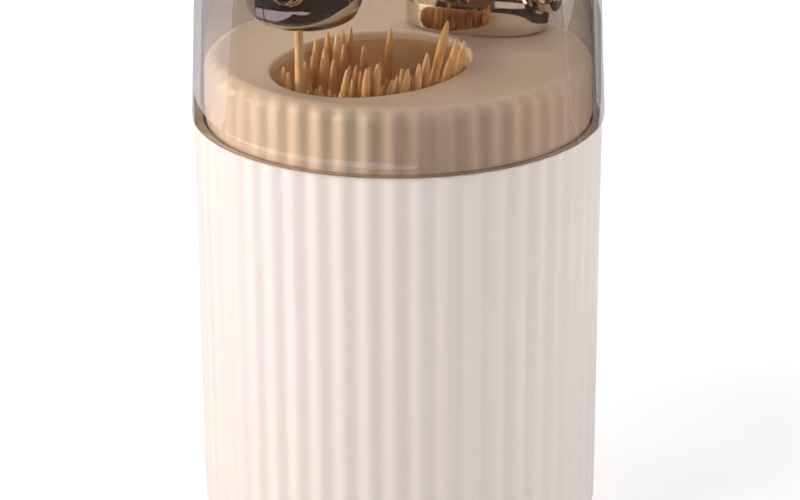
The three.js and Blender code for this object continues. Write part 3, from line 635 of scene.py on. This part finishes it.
def build_picks():
    """A load of loose toothpicks: the listed ones, then more between them, pushed apart over a fixed number of passes.
    """
    rnd = random.Random(11)
    view_right = np.array([math.cos(rad(45)), math.sin(rad(45))])
    floor_z = CUP_FLOOR + 0.35
    tips, feet, top = [], [], []
    for x, y, h, lean in STANDING:
        tips.append((x, y)); feet.append(np.array([x, y]) - view_right * lean); top.append(D + h)
    listed = len(tips)
    away = np.array([-view_right[1], view_right[0]])
    pitch = 3.0
    spots = []
    for j in range(20):
        for i in range(20):
            x, y = HOLE_X - 29 + (i + 0.5 * (j % 2)) * pitch + rnd.uniform(-0.5, 0.5), HOLE_Y - 27 + j * pitch * 0.866 + rnd.uniform(-0.5, 0.5)
            if in_mouth(x, y, 1.3) < 1 and min(math.dist((x, y), t) for t in tips[:listed]) > 1.9:
                spots.append((x, y))
    rnd.shuffle(spots)
    for x, y in spots:
        tips.append((x, y))
        feet.append(np.array([x, y]) + [rnd.gauss(0, 1.6), rnd.gauss(0, 1.6)])
        # the fill stands lower the further it is behind the near rim
        back = next(q for q in np.arange(0.0, 60.0, 0.5) if in_mouth(x - away[0] * q, y - away[1] * q, 0.0) > 1)
        top.append(D - min(0.22 * back, 6.0) + rnd.uniform(-2.6, 1.3))
    tips, feet, top = np.array(tips, float), np.array(feet, float), np.array(top)
    low = np.full(len(top), floor_z)
    low = np.maximum(low, top - 64.6)
    goal = tips.copy()
    n = len(tips)
    hs = np.linspace(0.0, 1.0, 9)
    c, s = math.cos(rad(HOLE_TURN)), math.sin(rad(HOLE_TURN))
    for it in range(260):
        for h in hs:
            P = feet * (1 - h) + tips * h
            d = P[:, None] - P[None]
            dist = np.hypot(d[..., 0], d[..., 1]) + np.eye(n) * 99
            push = np.clip(1.92 - dist, 0, None)[..., None] * d / dist[..., None] * 0.5
            move = push.sum(1) * 0.6
            # the lane of the lifted pick stays free
            z = floor_z + h * 62
            back = np.interp(z, [46.0, D + 8], [-12.2, -22.8]) + 1.0
            Q = P + move
            inlane = (np.abs(Q[:, 0]) < 3.3) & (Q[:, 1] < back)
            side = np.where(Q[:, 0] < 0, -3.3, 3.3)
            Q[:, 0] = np.where(inlane & (back - Q[:, 1] > 0.6), side, Q[:, 0])
            Q[:, 1] = np.where(inlane & (back - Q[:, 1] <= 0.6), back, Q[:, 1])
            e = in_mouth(Q[:, 0], Q[:, 1], 1.15)
            out = e > 1
            ctr = np.array([HOLE_X, HOLE_Y])
            Q[out] = ctr + (Q[out] - ctr) / e[out][:, None]
            move = Q - P
            feet += move * (1 - h)
            tips += move * h
        if it < 200:
            tips[:listed] += (goal[:listed] - tips[:listed]) * 0.12
    worst = 9.0
    for h in np.linspace(0, 1, 21):
        P = feet * (1 - h) + tips * h
        d = P[:, None] - P[None]
        worst = min(worst, float((np.hypot(d[..., 0], d[..., 1]) + np.eye(n) * 99).min()))
    print("picks", n, "nearest axes", round(worst, 2), "listed moved", round(float(np.hypot(*(tips - goal)[:listed].T).max()), 2))
    parts, along, shade = [], [], []
    for k in range(n):
        hold = min(top[k], D + 1.6) if abs(tips[k, 0]) < 10 and tips[k, 1] < -19 else top[k]
        ends = []
        for z in (low[k], hold):
            h = (z - floor_z) / (D - floor_z)
            ends.append((*(feet[k] * (1 - h) + tips[k] * h), z))
        w, f, al = place_pick(ends[0], ends[1], rnd.uniform(0.84, 0.92), rnd)
        parts.append((w, f)); along.append(al)
        # a random tone for each pick; the fill, standing lower in the mouth, takes only the darker tones as painted
        # shade
        shade.append(np.full(len(al), rnd.random() * (1.0 if k < listed else 0.7)))
    v, f = join(parts)
    ob = piece("loose_toothpicks", v, f, None, M_BAMBOO)
    write_attr(ob, v, np.concatenate(along), np.concatenate(shade))
    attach(ob, "base")
    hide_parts("toothpick_bundle")


def write_attr(ob, v, along, shade):
    me = ob.data
    co = np.zeros(len(me.vertices) * 3); me.vertices.foreach_get("co", co)
    if len(me.vertices) != len(v):
        raise RuntimeError("toothpick points were merged")
    for name, val in (("along", along), ("shade", shade)):
        a = me.attributes.new(name, "FLOAT", "POINT")
        a.data.foreach_set("value", np.asarray(val, np.float32))


def build_held():
    v, f = pick_mesh(PICK_LEN, PICK_R, 32, 5.5, 0.22)
    v = np.asarray(v)
    al = v[:, 2] / PICK_LEN
    w = v + np.array([0, PICK_Y, PICK_TOP - PICK_LEN])
    ob = piece("lifted_toothpick", w, f, None, M_BAMBOO)
    # painted light: the lifted pick gets one of the lightest tones, as it stands up in the light
    write_attr(ob, w, al, np.full(len(al), 0.93))
    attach(ob, "bird")
    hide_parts("held_toothpick")


# ------------------------------------------------------------------ pedestal, post and spring
def build_pedestal():
    n = 180
    wall = PED_WALL_H - 0.9
    prof = [(0.94, 0.0), (0.972, 0.05), (0.99, 0.22), (1.0, 0.55), (1.0, 2.5), (1.0, wall - 0.25)]
    dome = PED_H - wall
    for i in range(1, 19):
        a = rad(88.5 * i / 18)
        prof.append((math.cos(a) ** 0.8, wall + dome * math.sin(a) ** 0.9))
    t = np.arange(n) * 2 * np.pi / n
    c, s = np.cos(t), np.sin(t)
    ux = PED_A * np.sign(c) * np.abs(c) ** (2 / PED_N)
    uy = PED_B * np.sign(s) * np.abs(s) ** (2 / PED_N)
    ca, sa = math.cos(rad(PED_TURN)), math.sin(rad(PED_TURN))
    rings = [np.c_[PED_X + r * (ux * ca - uy * sa), PED_Y + r * (ux * sa + uy * ca), np.full(n, D + 0.3 + z)] for r, z in prof]
    v, f = loft(rings, cap0=True, cap1=True)
    ob = piece("chrome_pedestal", v, f, None, M_CHROME)
    subtract(ob, [
        cutter(*brick(-POST_T / 2 - 0.3, POST_T / 2 + 0.3, CROSS_Y - 4.6, CROSS_Y + 3.6, D + 3.0, D + 30)),
        cutter(*cylinder(2.2, SPRING_Z0 - 0.3, D + 30, 48, 0, SPRING_Y)),
        cutter(*cylinder_x(PIN_R + 0.3, -9.3, 20, CROSS_Y, CROSS_Z)),
        cutter(*cylinder_x(3.0, 12.2, 20, CROSS_Y, CROSS_Z)),
        *[cutter(*cylinder(1.55, D - 2, D + 5.0, 32, x, y)) for x, y in ((-9.0, 21.0), (8.5, 25.5))],
    ], 30)
    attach(ob, "base"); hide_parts("pedestal")

    prof = round_profile([(0, 0), (1.8, 0), (1.8, 1.3, 0.15), (2.3, 1.6, 0.15), (2.3, 3.6, 0.4), (1.7, 4.6, 0.35), (0, 4.9)], 5)
    v, f = lathe(prof, 64)
    v = np.asarray(v)
    piece("cross_pin_knob", np.c_[v[:, 2] + 12.5, v[:, 0] + CROSS_Y, v[:, 1] + CROSS_Z], f, "base", M_CHROME, ("cross_pin_cap",), "chrome_plate", 50)
    for name, node, x0, x1, y, z in (("cross_pin_rod", "cross_pin", -9.0, 12.1, CROSS_Y, CROSS_Z), ("pivot_rod", "pivot_pin", -6.8, 6.8, PIVOT_Y, PIVOT_Z)):
        prof = round_profile([(0, x0), (PIN_R, x0, 0.3), (PIN_R, x1, 0.3), (0, x1)], 3)
        v, f = lathe(prof, 48)
        v = np.asarray(v)
        piece(name, np.c_[v[:, 2], v[:, 0] + y, v[:, 1] + z], f, "base", M_STEEL, (node,), "steel")
    for side, x, y in (("left", -9.0, 21.0), ("right", 8.5, 25.5)):
        b = D - DECK_T
        prof = round_profile([(0, b - 1.2), (0.9, b - 1.2), (1.1, b - 2.0, 0.1), (1.8, b - 2.0, 0.3), (2.5, b - 1.2, 0.2), (2.5, b - 0.3), (1.25, b - 0.3), (1.25, D + 4.0), (0.4, D + 4.6), (0, D + 4.6)], 3)
        v, f = lathe(prof, 40)
        piece("screw_" + side, moved(v, Matrix.Translation((x, y, 0))), f, "base", M_STEEL, ("pedestal_screw_" + side,), "steel")


def build_post():
    pts = [(CROSS_Y - 4.2, D + 3.3), (CROSS_Y + 3.2, D + 3.3), (CROSS_Y + 3.2, D + 11.0), (PIVOT_Y + 2.9, PIVOT_Z - 1.0)]
    pts += [(PIVOT_Y + 3.0 * math.cos(rad(a)), PIVOT_Z + 3.0 * math.sin(rad(a))) for a in range(0, 181, 9)]
    pts += [(PIVOT_Y - 2.9, PIVOT_Z - 1.0), (CROSS_Y - 4.2, D + 12.0)]
    pts = [p for i, p in enumerate(pts) if i == 0 or math.dist(p, pts[i - 1]) > 0.02]
    # the outline is seen whole from this point, so both faces can fan out from it
    ctr = np.array([CROSS_Y - 4.0, D + 14.5])
    h = POST_T / 2
    n = len(pts)
    def ring(x, inset):
        P = np.array(pts)
        d = P - ctr
        return np.c_[np.full(len(P), x), P - d / np.linalg.norm(d, axis=1)[:, None] * inset]
    v, f = loft([ring(-h, 0.3), ring(-h + 0.3, 0), ring(h - 0.3, 0), ring(h, 0.3)])
    v = np.vstack([np.asarray(v, float), [[-h, *ctr], [h, *ctr]]])
    f = list(f) + [(j, (j + 1) % n, 4 * n) for j in range(n)] + [(3 * n + j, 3 * n + (j + 1) % n, 4 * n + 1) for j in range(n)]
    ob = piece("pivot_post", v, f, None, M_STEEL)
    subtract(ob, [cutter(*cylinder_x(PIN_R + 0.3, -9, 9, CROSS_Y, CROSS_Z)), cutter(*cylinder_x(PIN_R + 0.3, -9, 9, PIVOT_Y, PIVOT_Z))], 30)
    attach(ob, "base"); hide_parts("bird_post")


def build_spring():
    turns, steps, seg = 6.0, 420, 12
    L = SPRING_Z1 - SPRING_Z0 - 2 * SPRING_WIRE
    rings = []
    for i in range(steps + 1):
        q = i / steps
        # closed end coils, open in the middle
        zt = SPRING_Z0 + SPRING_WIRE + L * (0.5 - 0.5 * math.cos(math.pi * q)) * 0.35 + L * q * 0.65
        a = 2 * math.pi * turns * q
        c = np.array([SPRING_R * math.cos(a), SPRING_Y + SPRING_R * math.sin(a), zt])
        tang = np.array([-math.sin(a) * SPRING_R * 2 * math.pi * turns, math.cos(a) * SPRING_R * 2 * math.pi * turns, L])
        tang /= np.linalg.norm(tang)
        nrm = np.array([math.cos(a), math.sin(a), 0])
        bin_ = np.cross(tang, nrm)
        w = SPRING_WIRE * (0.6 if i in (0, steps) else 1.0)
        ph = np.arange(seg) * 2 * np.pi / seg
        rings.append(c + w * (np.cos(ph)[:, None] * nrm + np.sin(ph)[:, None] * bin_))
    v, f = loft(rings, cap0=True, cap1=True)
    ob = piece("coil_spring", v, f, None, M_SPRING)
    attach(ob, "base"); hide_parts("return_spring")
    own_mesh(ob)


# ------------------------------------------------------------------ bird
def lobe(L, shrink):
    a, b, c = L["a"] - shrink, L["b"] - shrink, L["c"] - shrink
    cp, sp = math.cos(rad(L["pitch"])), math.sin(rad(L["pitch"]))
    sc = min(a, b, c)
    cl, ml = (L["cl"] - shrink if "cl" in L else c), L.get("ml", L["m"])
    def f(x, y, z):
        dy, dz = y - L["y"], z - L["z"]
        u, w = cp * dy + sp * dz, -sp * dy + cp * dz
        m = np.where(w < 0, ml, L["m"])
        h = np.where(w < 0, cl, c)
        q = (np.abs(x / a) ** L["n"] + np.abs(u / b) ** L["n"]) ** (m / L["n"]) + np.abs(w / h) ** m
        return (q ** (1 / m) - 1) * sc
    return f


def smin(a, b, k):
    h = np.maximum(0, k - np.abs(a - b)) / k
    return np.minimum(a, b) - h * h * k / 4


def bird_field(shrink):
    h, c, b, t = lobe(HEAD, shrink), lobe(NECK, shrink), lobe(BODY, shrink), lobe(TAIL, min(shrink, 1.6))
    return lambda x, y, z: smin(smin(h(x, y, z), smin(c(x, y, z), b(x, y, z), BLEND_NECK), BLEND_NECK), t(x, y, z), BLEND_TAIL)


SPINE = ([-40, -24, -12, -2, 14, 26, 40], [HEAD["z"], HEAD["z"], NECK["z"], BODY["z"], BODY["z"] + 0.5, TAIL["z"] - 1.5, TAIL["z"] + 3.2])
spine_z = lambda y: np.interp(y, *SPINE)


def bisect(f, inside, outside, n=40):
    inside, outside = np.broadcast_arrays(np.asarray(inside, float), np.asarray(outside, float))
    a, b = inside.copy(), outside.copy()
    for _ in range(n):
        m = (a + b) / 2
        neg = f(m) < 0
        a, b = np.where(neg, m, a), np.where(neg, b, m)
    return (a + b) / 2


def full_skin(shrink, along, around, relief=None):
    """The bird's closed skin: rings along the body, each ring a set of rays from a spine line."""
    f = bird_field(shrink)
    y0 = float(bisect(lambda y: f(0 * y, y, spine_z(y)), HEAD["y"], -60.0))
    y1 = float(bisect(lambda y: f(0 * y, y, spine_z(y)), TAIL["y"], 70.0))
    ph = np.linspace(0, np.pi, along + 1)[1:-1]
    ys = y0 + (y1 - y0) * (1 - np.cos(ph)) / 2
    th = np.arange(around) * 2 * np.pi / around
    Y, T = np.meshgrid(ys, th, indexing="ij")
    dx, dz = np.sin(T), np.cos(T)
    zc = spine_z(Y)
    r = bisect(lambda q: f(q * dx, Y, zc + q * dz), 0.0 * Y, 30.0 + 0 * Y)
    P = np.stack([r * dx, Y, zc + r * dz], -1)
    if relief is not None:
        P = P - relief(P)[..., None] * skin_normal(f, P)
    m = len(ys)
    verts = np.vstack([P.reshape(-1, 3), [(0, y0, float(spine_z(y0))), (0, y1, float(spine_z(y1)))]])
    faces = [(j * around + i, j * around + (i + 1) % around, (j + 1) * around + (i + 1) % around, (j + 1) * around + i) for j in range(m - 1) for i in range(around)]
    k = m * around
    faces += [(k, (i + 1) % around, i) for i in range(around)] + [(k + 1, (m - 1) * around + i, (m - 1) * around + (i + 1) % around) for i in range(around)]
    return verts, faces


def skin_normal(f, P):
    e = 0.02
    x, y, z = P[..., 0], P[..., 1], P[..., 2]
    g = np.stack([f(x + e, y, z) - f(x - e, y, z), f(x, y + e, z) - f(x, y - e, z), f(x, y, z + e) - f(x, y, z - e)], -1)
    return g / np.linalg.norm(g, axis=-1, keepdims=True)


def bird_relief(P):
    """Depth of the moulded wing edge and tail grooves, in millimetres."""
    x, y, z = np.abs(P[..., 0]), P[..., 1], P[..., 2]
    # wing: a drop shape on each side, its edge a shallow rounded groove
    u = (y - 9.0) / 15.5
    w = (z - (D + 29.5) - 2.6 * u) / 7.6
    q = (np.abs(u) ** 2.2 + np.abs(w) ** 2.0 * (1.0 + 0.55 * np.clip(u, -1, 1.4))) ** 0.5
    on_side = np.clip((x - 4.0) / 3.0, 0, 1)
    depth = 0.42 * np.exp(-((q - 1.0) * 15.5 / 2.2) ** 2) * on_side
    depth = depth - 0.30 * np.clip((1.0 - q) / 0.25, 0, 1) ** 2 * (3 - 2 * np.clip((1.0 - q) / 0.25, 0, 1)) * 0.0
    # three feather lines at the wing's trailing end
    for k, off in enumerate((-0.34, 0.0, 0.34)):
        line = (w - off - 0.10 * (u - 0.5)) * 7.6
        depth += 0.22 * np.exp(-(line / 0.75) ** 2) * np.clip((u - 0.05) / 0.25, 0, 1) * np.clip((0.93 - q) / 0.12, 0, 1) * on_side
    # two grooves along the tail
    for off in (2.1,):
        depth += 0.25 * np.exp(-((x - off) / 0.55) ** 2) * np.clip((y - 27.0) / 4.0, 0, 1)
    return depth


def bird_half(side, name, node):
    gap = 0.15
    ob = piece(name, *full_skin(0.0, 220, 200, bird_relief), None, M_BIRD)
    # the hollow, less a boss on each side for the pivot
    hollow = piece("hollow", *full_skin(1.8, 90, 80), None, None)
    subtract(hollow, [cutter(*cylinder_x(3.6, 3.1 if side > 0 else -16.0, 16.0 if side > 0 else -3.1, PIVOT_Y, PIVOT_Z))])
    tools = [hollow]
    other = brick(-60, side * gap, -60, 60, D - 20, D + 70) if side > 0 else brick(side * gap, 60, -60, 60, D - 20, D + 70)
    c, m = eye_frame(side)
    v, f = cylinder(BEZEL_R + 0.1, -1.6, 8, 72)
    by = beak_y()
    socket = lathe([(0, -BEAK_H - 0.3)] + [((BEAK_W + 0.3) * math.sin(math.pi * i / 16) ** 0.9, -(BEAK_H + 0.3) * math.cos(math.pi * i / 16)) for i in range(1, 16)] + [(0, BEAK_H + 0.3)], 32)
    sv = np.asarray(socket[0]) * np.array([1, (BEAK_D + 0.3) / (BEAK_W + 0.3), 1]) + np.array([0, by, BEAK_Z])
    tools += [
        cutter(*other),
        cutter(*cylinder(GRIP_R + 0.3, D + 5, D + 16.4, 48, 0, PICK_Y)),
        cutter(*brick(-2.8, 2.8, PIVOT_Y - 3.5, PIVOT_Y + 4.6, D + 8, PIVOT_Z + 3.4)),
        cutter(*cylinder_x(PIN_R + 0.3, -7.1, 7.1, PIVOT_Y, PIVOT_Z)),
        cutter(moved(v, m), f),
        cutter(sv, socket[1]),
    ]
    subtract(ob, tools, 32)
    print(name, "verts", len(ob.data.vertices), "box", [round(v * 1000, 2) for v in ob.dimensions])
    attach(ob, "bird"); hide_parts(node)
    return ob


F0 = bird_field(0.0)


def eye_frame(side):
    d = np.array([side * math.sin(rad(EYE_AZ)), -math.cos(rad(EYE_AZ)), 0.0])
    r = float(bisect(lambda q: F0(d[0] * q, HEAD["y"] + d[1] * q, EYE_Z + 0 * q), 0.0, 30.0))
    c = np.array([d[0] * r, HEAD["y"] + d[1] * r, EYE_Z])
    e = 0.01
    n = Vector((float(F0(c[0] + e, c[1], c[2]) - F0(c[0] - e, c[1], c[2])), float(F0(c[0], c[1] + e, c[2]) - F0(c[0], c[1] - e, c[2])), float(F0(c[0], c[1], c[2] + e) - F0(c[0], c[1], c[2] - e)))).normalized()
    q = Vector((0, 0, 1)).rotation_difference(n)
    return c, Matrix.Translation(Vector(c)) @ q.to_matrix().to_4x4()


def build_eyes():
    for s, side in ((-1, "left"), (1, "right")):
        c, m = eye_frame(s)
        ring = round_profile([(GEM_R + 0.12, -1.3), (BEZEL_R, -1.3, 0.1), (BEZEL_R, -0.1, 0.15), (BEZEL_R - 0.35, 0.3, 0.2), (GEM_R + 0.35, 0.3, 0.2), (GEM_R + 0.12, 0.05, 0.1)], 4)
        v, f = lathe(ring + [ring[0]], 96)
        parts = [(v, f)]
        for i in range(4):
            a = rad(45 + 90 * i)
            for dr in (-0.09, 0.09):
                prong = []
                for j, (rr, rise, wd) in enumerate(((GEM_R + 0.95, 0.0, 0.34), (GEM_R + 0.8, 0.35, 0.33), (GEM_R + 0.45, 0.62, 0.30), (GEM_R + 0.05, 0.70, 0.26), (GEM_R - 0.25, 0.60, 0.16))):
                    cx, cy = rr * math.cos(a + dr), rr * math.sin(a + dr)
                    ph = np.arange(10) * 2 * np.pi / 10
                    tx, ty = -math.sin(a), math.cos(a)
                    prong.append(np.c_[cx + wd * np.cos(ph) * tx * 0.8, cy + wd * np.cos(ph) * ty * 0.8, rise + wd * np.sin(ph) * 0.5])
                parts.append(loft(prong, cap0=True, cap1=True))
        v, f = join(parts)
        piece("eye_setting_" + side, moved(v, m), f, "bird", M_GOLD, ("eye_bezel_" + side,), "gold_plate", 40)
        # a cut stone: table, crown and pavilion facets
        def ngon(r, z, n, ph=0.0):
            return [(r * math.cos(ph + 2 * math.pi * i / n), r * math.sin(ph + 2 * math.pi * i / n), z) for i in range(n)]
        rows = [ngon(GEM_R * 0.50, 0.72, 8, 0), ngon(GEM_R * 0.76, 0.45, 8, math.pi / 8), ngon(GEM_R - 0.03, 0.0, 16, 0), ngon(GEM_R - 0.03, -0.12, 16, 0), ngon(0.15, -1.2, 8, 0)]
        pts = [p for r in rows for p in r]
        hull = bmesh.new()
        for p in pts:
            hull.verts.new(p)
        bmesh.ops.convex_hull(hull, input=hull.verts)
        hv = [tuple(x.co) for x in hull.verts]
        idx = {x: i for i, x in enumerate(hull.verts)}
        hf = [tuple(idx[x] for x in face.verts) for face in hull.faces]
        hull.free()
        piece("eye_crystal_" + side, moved(hv, m), hf, "bird", M_GEM, ("eye_gem_" + side,), "crystal", 5, True)


def beak_y():
    return float(bisect(lambda y: F0(0 * y, y, BEAK_Z + 0 * y), HEAD["y"], -60.0)) + BEAK_D - BEAK_OUT


def build_beak():
    by = beak_y()
    rings = []
    n = 48
    for i in range(25):
        a = math.pi * i / 24
        z = -math.cos(a) * BEAK_H
        k = math.sin(a) ** 0.9
        t = np.arange(n) * 2 * np.pi / n
        w = BEAK_W * k * (1.0 - 0.10 * math.cos(a))
        rings.append(np.c_[w * np.cos(t), by + BEAK_D * k * np.sin(t) * np.where(np.sin(t) < 0, 1 + 0.0 * t, 1), np.full(n, BEAK_Z + z)])
    v, f = loft(rings[1:-1], cap0=True, cap1=True)
    piece("small_beak", v, f, "bird", M_GOLD, ("beak",), "gold_plate", 60)


def build_grip():
    prof = round_profile([(PICK_R + 0.12, D + 11.5), (GRIP_R - 0.3, D + 11.5, 0.15), (GRIP_R, D + 11.8, 0.15), (GRIP_R, D + 16.1, 0.2), (0, D + 16.1), (0, D + 15.4), (PICK_R + 0.12, D + 14.6), (PICK_R + 0.12, D + 11.5)], 3)
    v, f = lathe(prof, 64)
    piece("soft_grip", moved(v, Matrix.Translation((0, PICK_Y, 0))), f, "bird", M_GRIP, ("pick_grip",), "grip_silicone")


# ------------------------------------------------------------------ cover
def build_cover():
    k = math.tan(rad(COVER_TAPER))
    z0 = SEAM + 0.3
    def profile(off):
        r_at = lambda z: COVER_R - off - (z - z0) * k
        top, rr = COVER_TOP - off, COVER_DOME - off
        cz = top - rr
        cx = r_at(cz) - rr
        side = [(r_at(z), z) for z in np.linspace(z0, cz, 9)[1:-1]]
        return side + arc(cx, cz, rr, 0, 90, 28) + [(cx * 0.66, top), (cx * 0.33, top)]
    outer, inner = profile(0.0), profile(COVER_WALL)
    rim = round_profile([(COVER_R - 0.02, z0 + 3), (COVER_R, z0, 0.35), (COVER_R - COVER_WALL, z0, 0.35), (COVER_R - COVER_WALL - 0.02, z0 + 3)], 5)[1:-1]
    v1, f1 = lathe([(0, COVER_TOP)] + outer[::-1] + rim + inner + [(0, COVER_TOP - COVER_WALL)], 240)
    ob = piece("smoke_cover", v1, f1, "cover", M_SMOKE, ("dust_cover",), "smoke_clear", 60)
    # the two small radii of the foot rim gather the tint of the whole wall above them
    ob.data.materials.append(M_EDGE)
    for p in ob.data.polygons:
        if p.center.z * 1000 < z0 + 0.34 and abs(p.normal.z) < 0.93:
            p.material_index = 1


build_pot()
build_neck()
build_cup()
build_picks()
build_held()
build_pedestal()
build_post()
build_spring()
bird_half(-1, "bird_half_left", "bird_shell_left")
bird_half(1, "bird_half_right", "bird_shell_right")
build_eyes()
build_beak()
build_grip()
build_cover()


# ------------------------------------------------------------------ floor, light
def pale_floor():
    t = Tree("pale_floor")
    c = coords(t)
    col = t.mix(t.range(t.noise(6.0, 3.0, 0.5, c), 0.3, 0.7, 0.0, 1.0), (0.93, 0.93, 0.93, 1), (0.95, 0.95, 0.95, 1))
    p = t.add("BsdfPrincipled", {"Base Color": col, "Roughness": 0.6})
    p.inputs["Specular IOR Level"].default_value = 0.2
    return t.finish(p.outputs[0])


def build_stage():
    # a sweep: flat floor that curves up behind
    az = rad(45)
    pts = [(-1.6, 0.0), (1.2, 0.0)] + [(1.2 + 0.8 * math.sin(a), 0.8 - 0.8 * math.cos(a)) for a in np.linspace(0, math.pi / 2, 13)[1:]] + [(2.0, 3.0)]
    verts, faces = [], []
    for u, z in pts:
        for w in (-3.0, 3.0):
            # u runs away from the camera, w to its right
            x = -u * math.sin(az) + w * math.cos(az)
            y = u * math.cos(az) + w * math.sin(az)
            verts.append((x, y, z))
    for i in range(len(pts) - 1):
        faces.append((2 * i, 2 * i + 1, 2 * i + 3, 2 * i + 2))
    me = bpy.data.meshes.new("floor")
    me.from_pydata(verts, [], faces)
    me.update()
    for p in me.polygons:
        p.use_smooth = True
    me.materials.append(pale_floor())
    ob = bpy.data.objects.new("floor", me)
    scene.collection.objects.link(ob)


def studio_card(name, corners, colour, glow=0.0):
    """A flat studio card that is seen in mirrored light only: black, or lit by itself with glow."""
    me = bpy.data.meshes.new(name)
    me.from_pydata([tuple(p) for p in corners], [], [tuple(range(len(corners)))])
    t = Tree(name)
    c = coords(t)
    col = t.mix(t.range(t.noise(5.0, 3.0, 0.5, c), 0.3, 0.7, 0.0, 1.0), (*[x * 0.8 for x in colour], 1), (*colour, 1))
    if glow:
        shader = t.add("Emission", {"Color": col, "Strength": glow})
    else:
        shader = t.add("BsdfPrincipled", {"Base Color": col, "Roughness": 0.9})
    me.materials.append(t.finish(shader.outputs[0]))
    ob = bpy.data.objects.new(name, me)
    scene.collection.objects.link(ob)
    ob.visible_camera = ob.visible_diffuse = ob.visible_transmission = ob.visible_volume_scatter = ob.visible_shadow = False


def on_floor(points, lift=0.002):
    """Corners on the floor, given as (to the right, away) in metres from the camera's side."""
    return [from_view(w, u, lift) for w, u in points]


def area(name, loc, target, size, power, colour=(1, 1, 1), size_y=None):
    L = bpy.data.lights.new(name, "AREA")
    L.shape = "RECTANGLE"
    L.size, L.size_y = size, size_y or size
    L.energy = power
    L.color = colour
    ob = bpy.data.objects.new(name, L)
    scene.collection.objects.link(ob)
    ob.location = loc
    ob.rotation_euler = (Vector(target) - Vector(loc)).to_track_quat("-Z", "Y").to_euler()
    return ob


def from_view(right, away, up):
    """A point given from the camera's side: to the right, away from it and up, in metres."""
    az = rad(45)
    return (right * math.cos(az) - away * math.sin(az), right * math.sin(az) + away * math.cos(az), up)


def build_light():
    world = bpy.data.worlds.new("world")
    scene.world = world
    world.use_nodes = True
    bg = world.node_tree.nodes["Background"]
    bg.inputs[0].default_value = (0.96, 0.97, 1.0, 1)
    bg.inputs[1].default_value = 0.08
    aim = (0, 0, 0.08)
    area("soft_left", from_view(-0.5, -0.05, 0.25), aim, 0.5, 1.52, (1.0, 0.99, 0.975), 0.5)
    area("key_front", from_view(-0.75, -0.55, 0.95), aim, 0.6, 6.7, (1.0, 0.985, 0.96), 0.7)
    area("soft_right", from_view(0.55, 0.05, 0.22), aim, 0.4, 0.93, (0.98, 0.985, 1.0), 0.42)
    area("strip_right", from_view(0.62, -0.5, 0.62), (0, 0, 0.11), 0.16, 1.48, (0.96, 0.95, 1.0), 0.5)
    area("top", from_view(0.0, 0.3, 1.5), aim, 1.2, 5.0, (1, 1, 1), 1.0)
    area("back_top", from_view(0.0, 1.1, 1.2), (from_view(0.0, 0.5, 0.0)), 1.6, 16.0, (1, 1, 1), 0.8)
    # the clear cover pipes light to what stands in it: two low lights that reach the neck, the cup and the toothpicks only
    lit = bpy.data.collections.new("lit_through_cover")
    for name in ("fluted_neck", "oval_cup", "loose_toothpicks", "lifted_toothpick"):
        lit.objects.link(bpy.data.objects[name])
    for name, where, power, colour in (("neck_left", (-0.5, -0.12, 0.15), 3.6, (1.0, 0.97, 0.93)), ("neck_right", (0.5, -0.12, 0.14), 1.35, (1.0, 0.97, 0.95))):
        area(name, from_view(*where), (0, 0, 0.10), 0.3, power, colour, 0.12).light_linking.receiver_collection = lit


build_stage()
BLACK = (0.030, 0.026, 0.024)
LILAC = (0.74, 0.80, 1.0)
studio_card("card_floor", on_floor([(-2.9, -1.55), (2.9, -1.55), (2.9, 0.10), (-2.9, 0.10)]), BLACK)
studio_card("card_side", on_floor([(0.16, 0.105), (0.45, 0.105), (0.45, 0.36), (0.16, 0.36)]), BLACK)
studio_card("card_middle", on_floor([(-0.13, -0.225), (0.06, -0.225), (0.06, 0.02), (-0.13, 0.02)], 0.003), (0.10, 0.062, 0.040))
studio_card("card_lilac_low", on_floor([(-0.285, 0.08), (-0.292, 0.0), (-0.28, -0.09), (-0.235, -0.175), (-0.155, -0.25), (-0.05, -0.29), (0.05, -0.265), (0.0, -0.235), (-0.13, -0.23), (-0.135, -0.10), (-0.13, 0.09)], 0.004), LILAC, 2.9)
# a dark screen round the pot keeps the lilac card out of the pot's own gloss
arc_pts = [(0.062 * math.cos(rad(a)), 0.062 * math.sin(rad(a))) for a in range(150, 301, 10)]
for i in range(len(arc_pts) - 1):
    (w0, u0), (w1, u1) = arc_pts[i], arc_pts[i + 1]
    studio_card("card_screen_%d" % i, [from_view(w0, u0, 0.006), from_view(w1, u1, 0.006), from_view(w1, u1, 0.086), from_view(w0, u0, 0.086)], BLACK)
studio_card("card_lilac_high", [from_view(-0.10, -0.60, 0.175), from_view(0.62, -0.60, 0.175), from_view(0.62, -0.60, 0.40), from_view(-0.10, -0.60, 0.40)], LILAC, 3.2)
studio_card("card_brown", [from_view(-0.75, -0.60, 0.13), from_view(-0.105, -0.60, 0.13), from_view(-0.105, -0.60, 0.44), from_view(-0.75, -0.60, 0.44)], (0.40, 0.27, 0.15), 1.1)
build_light()
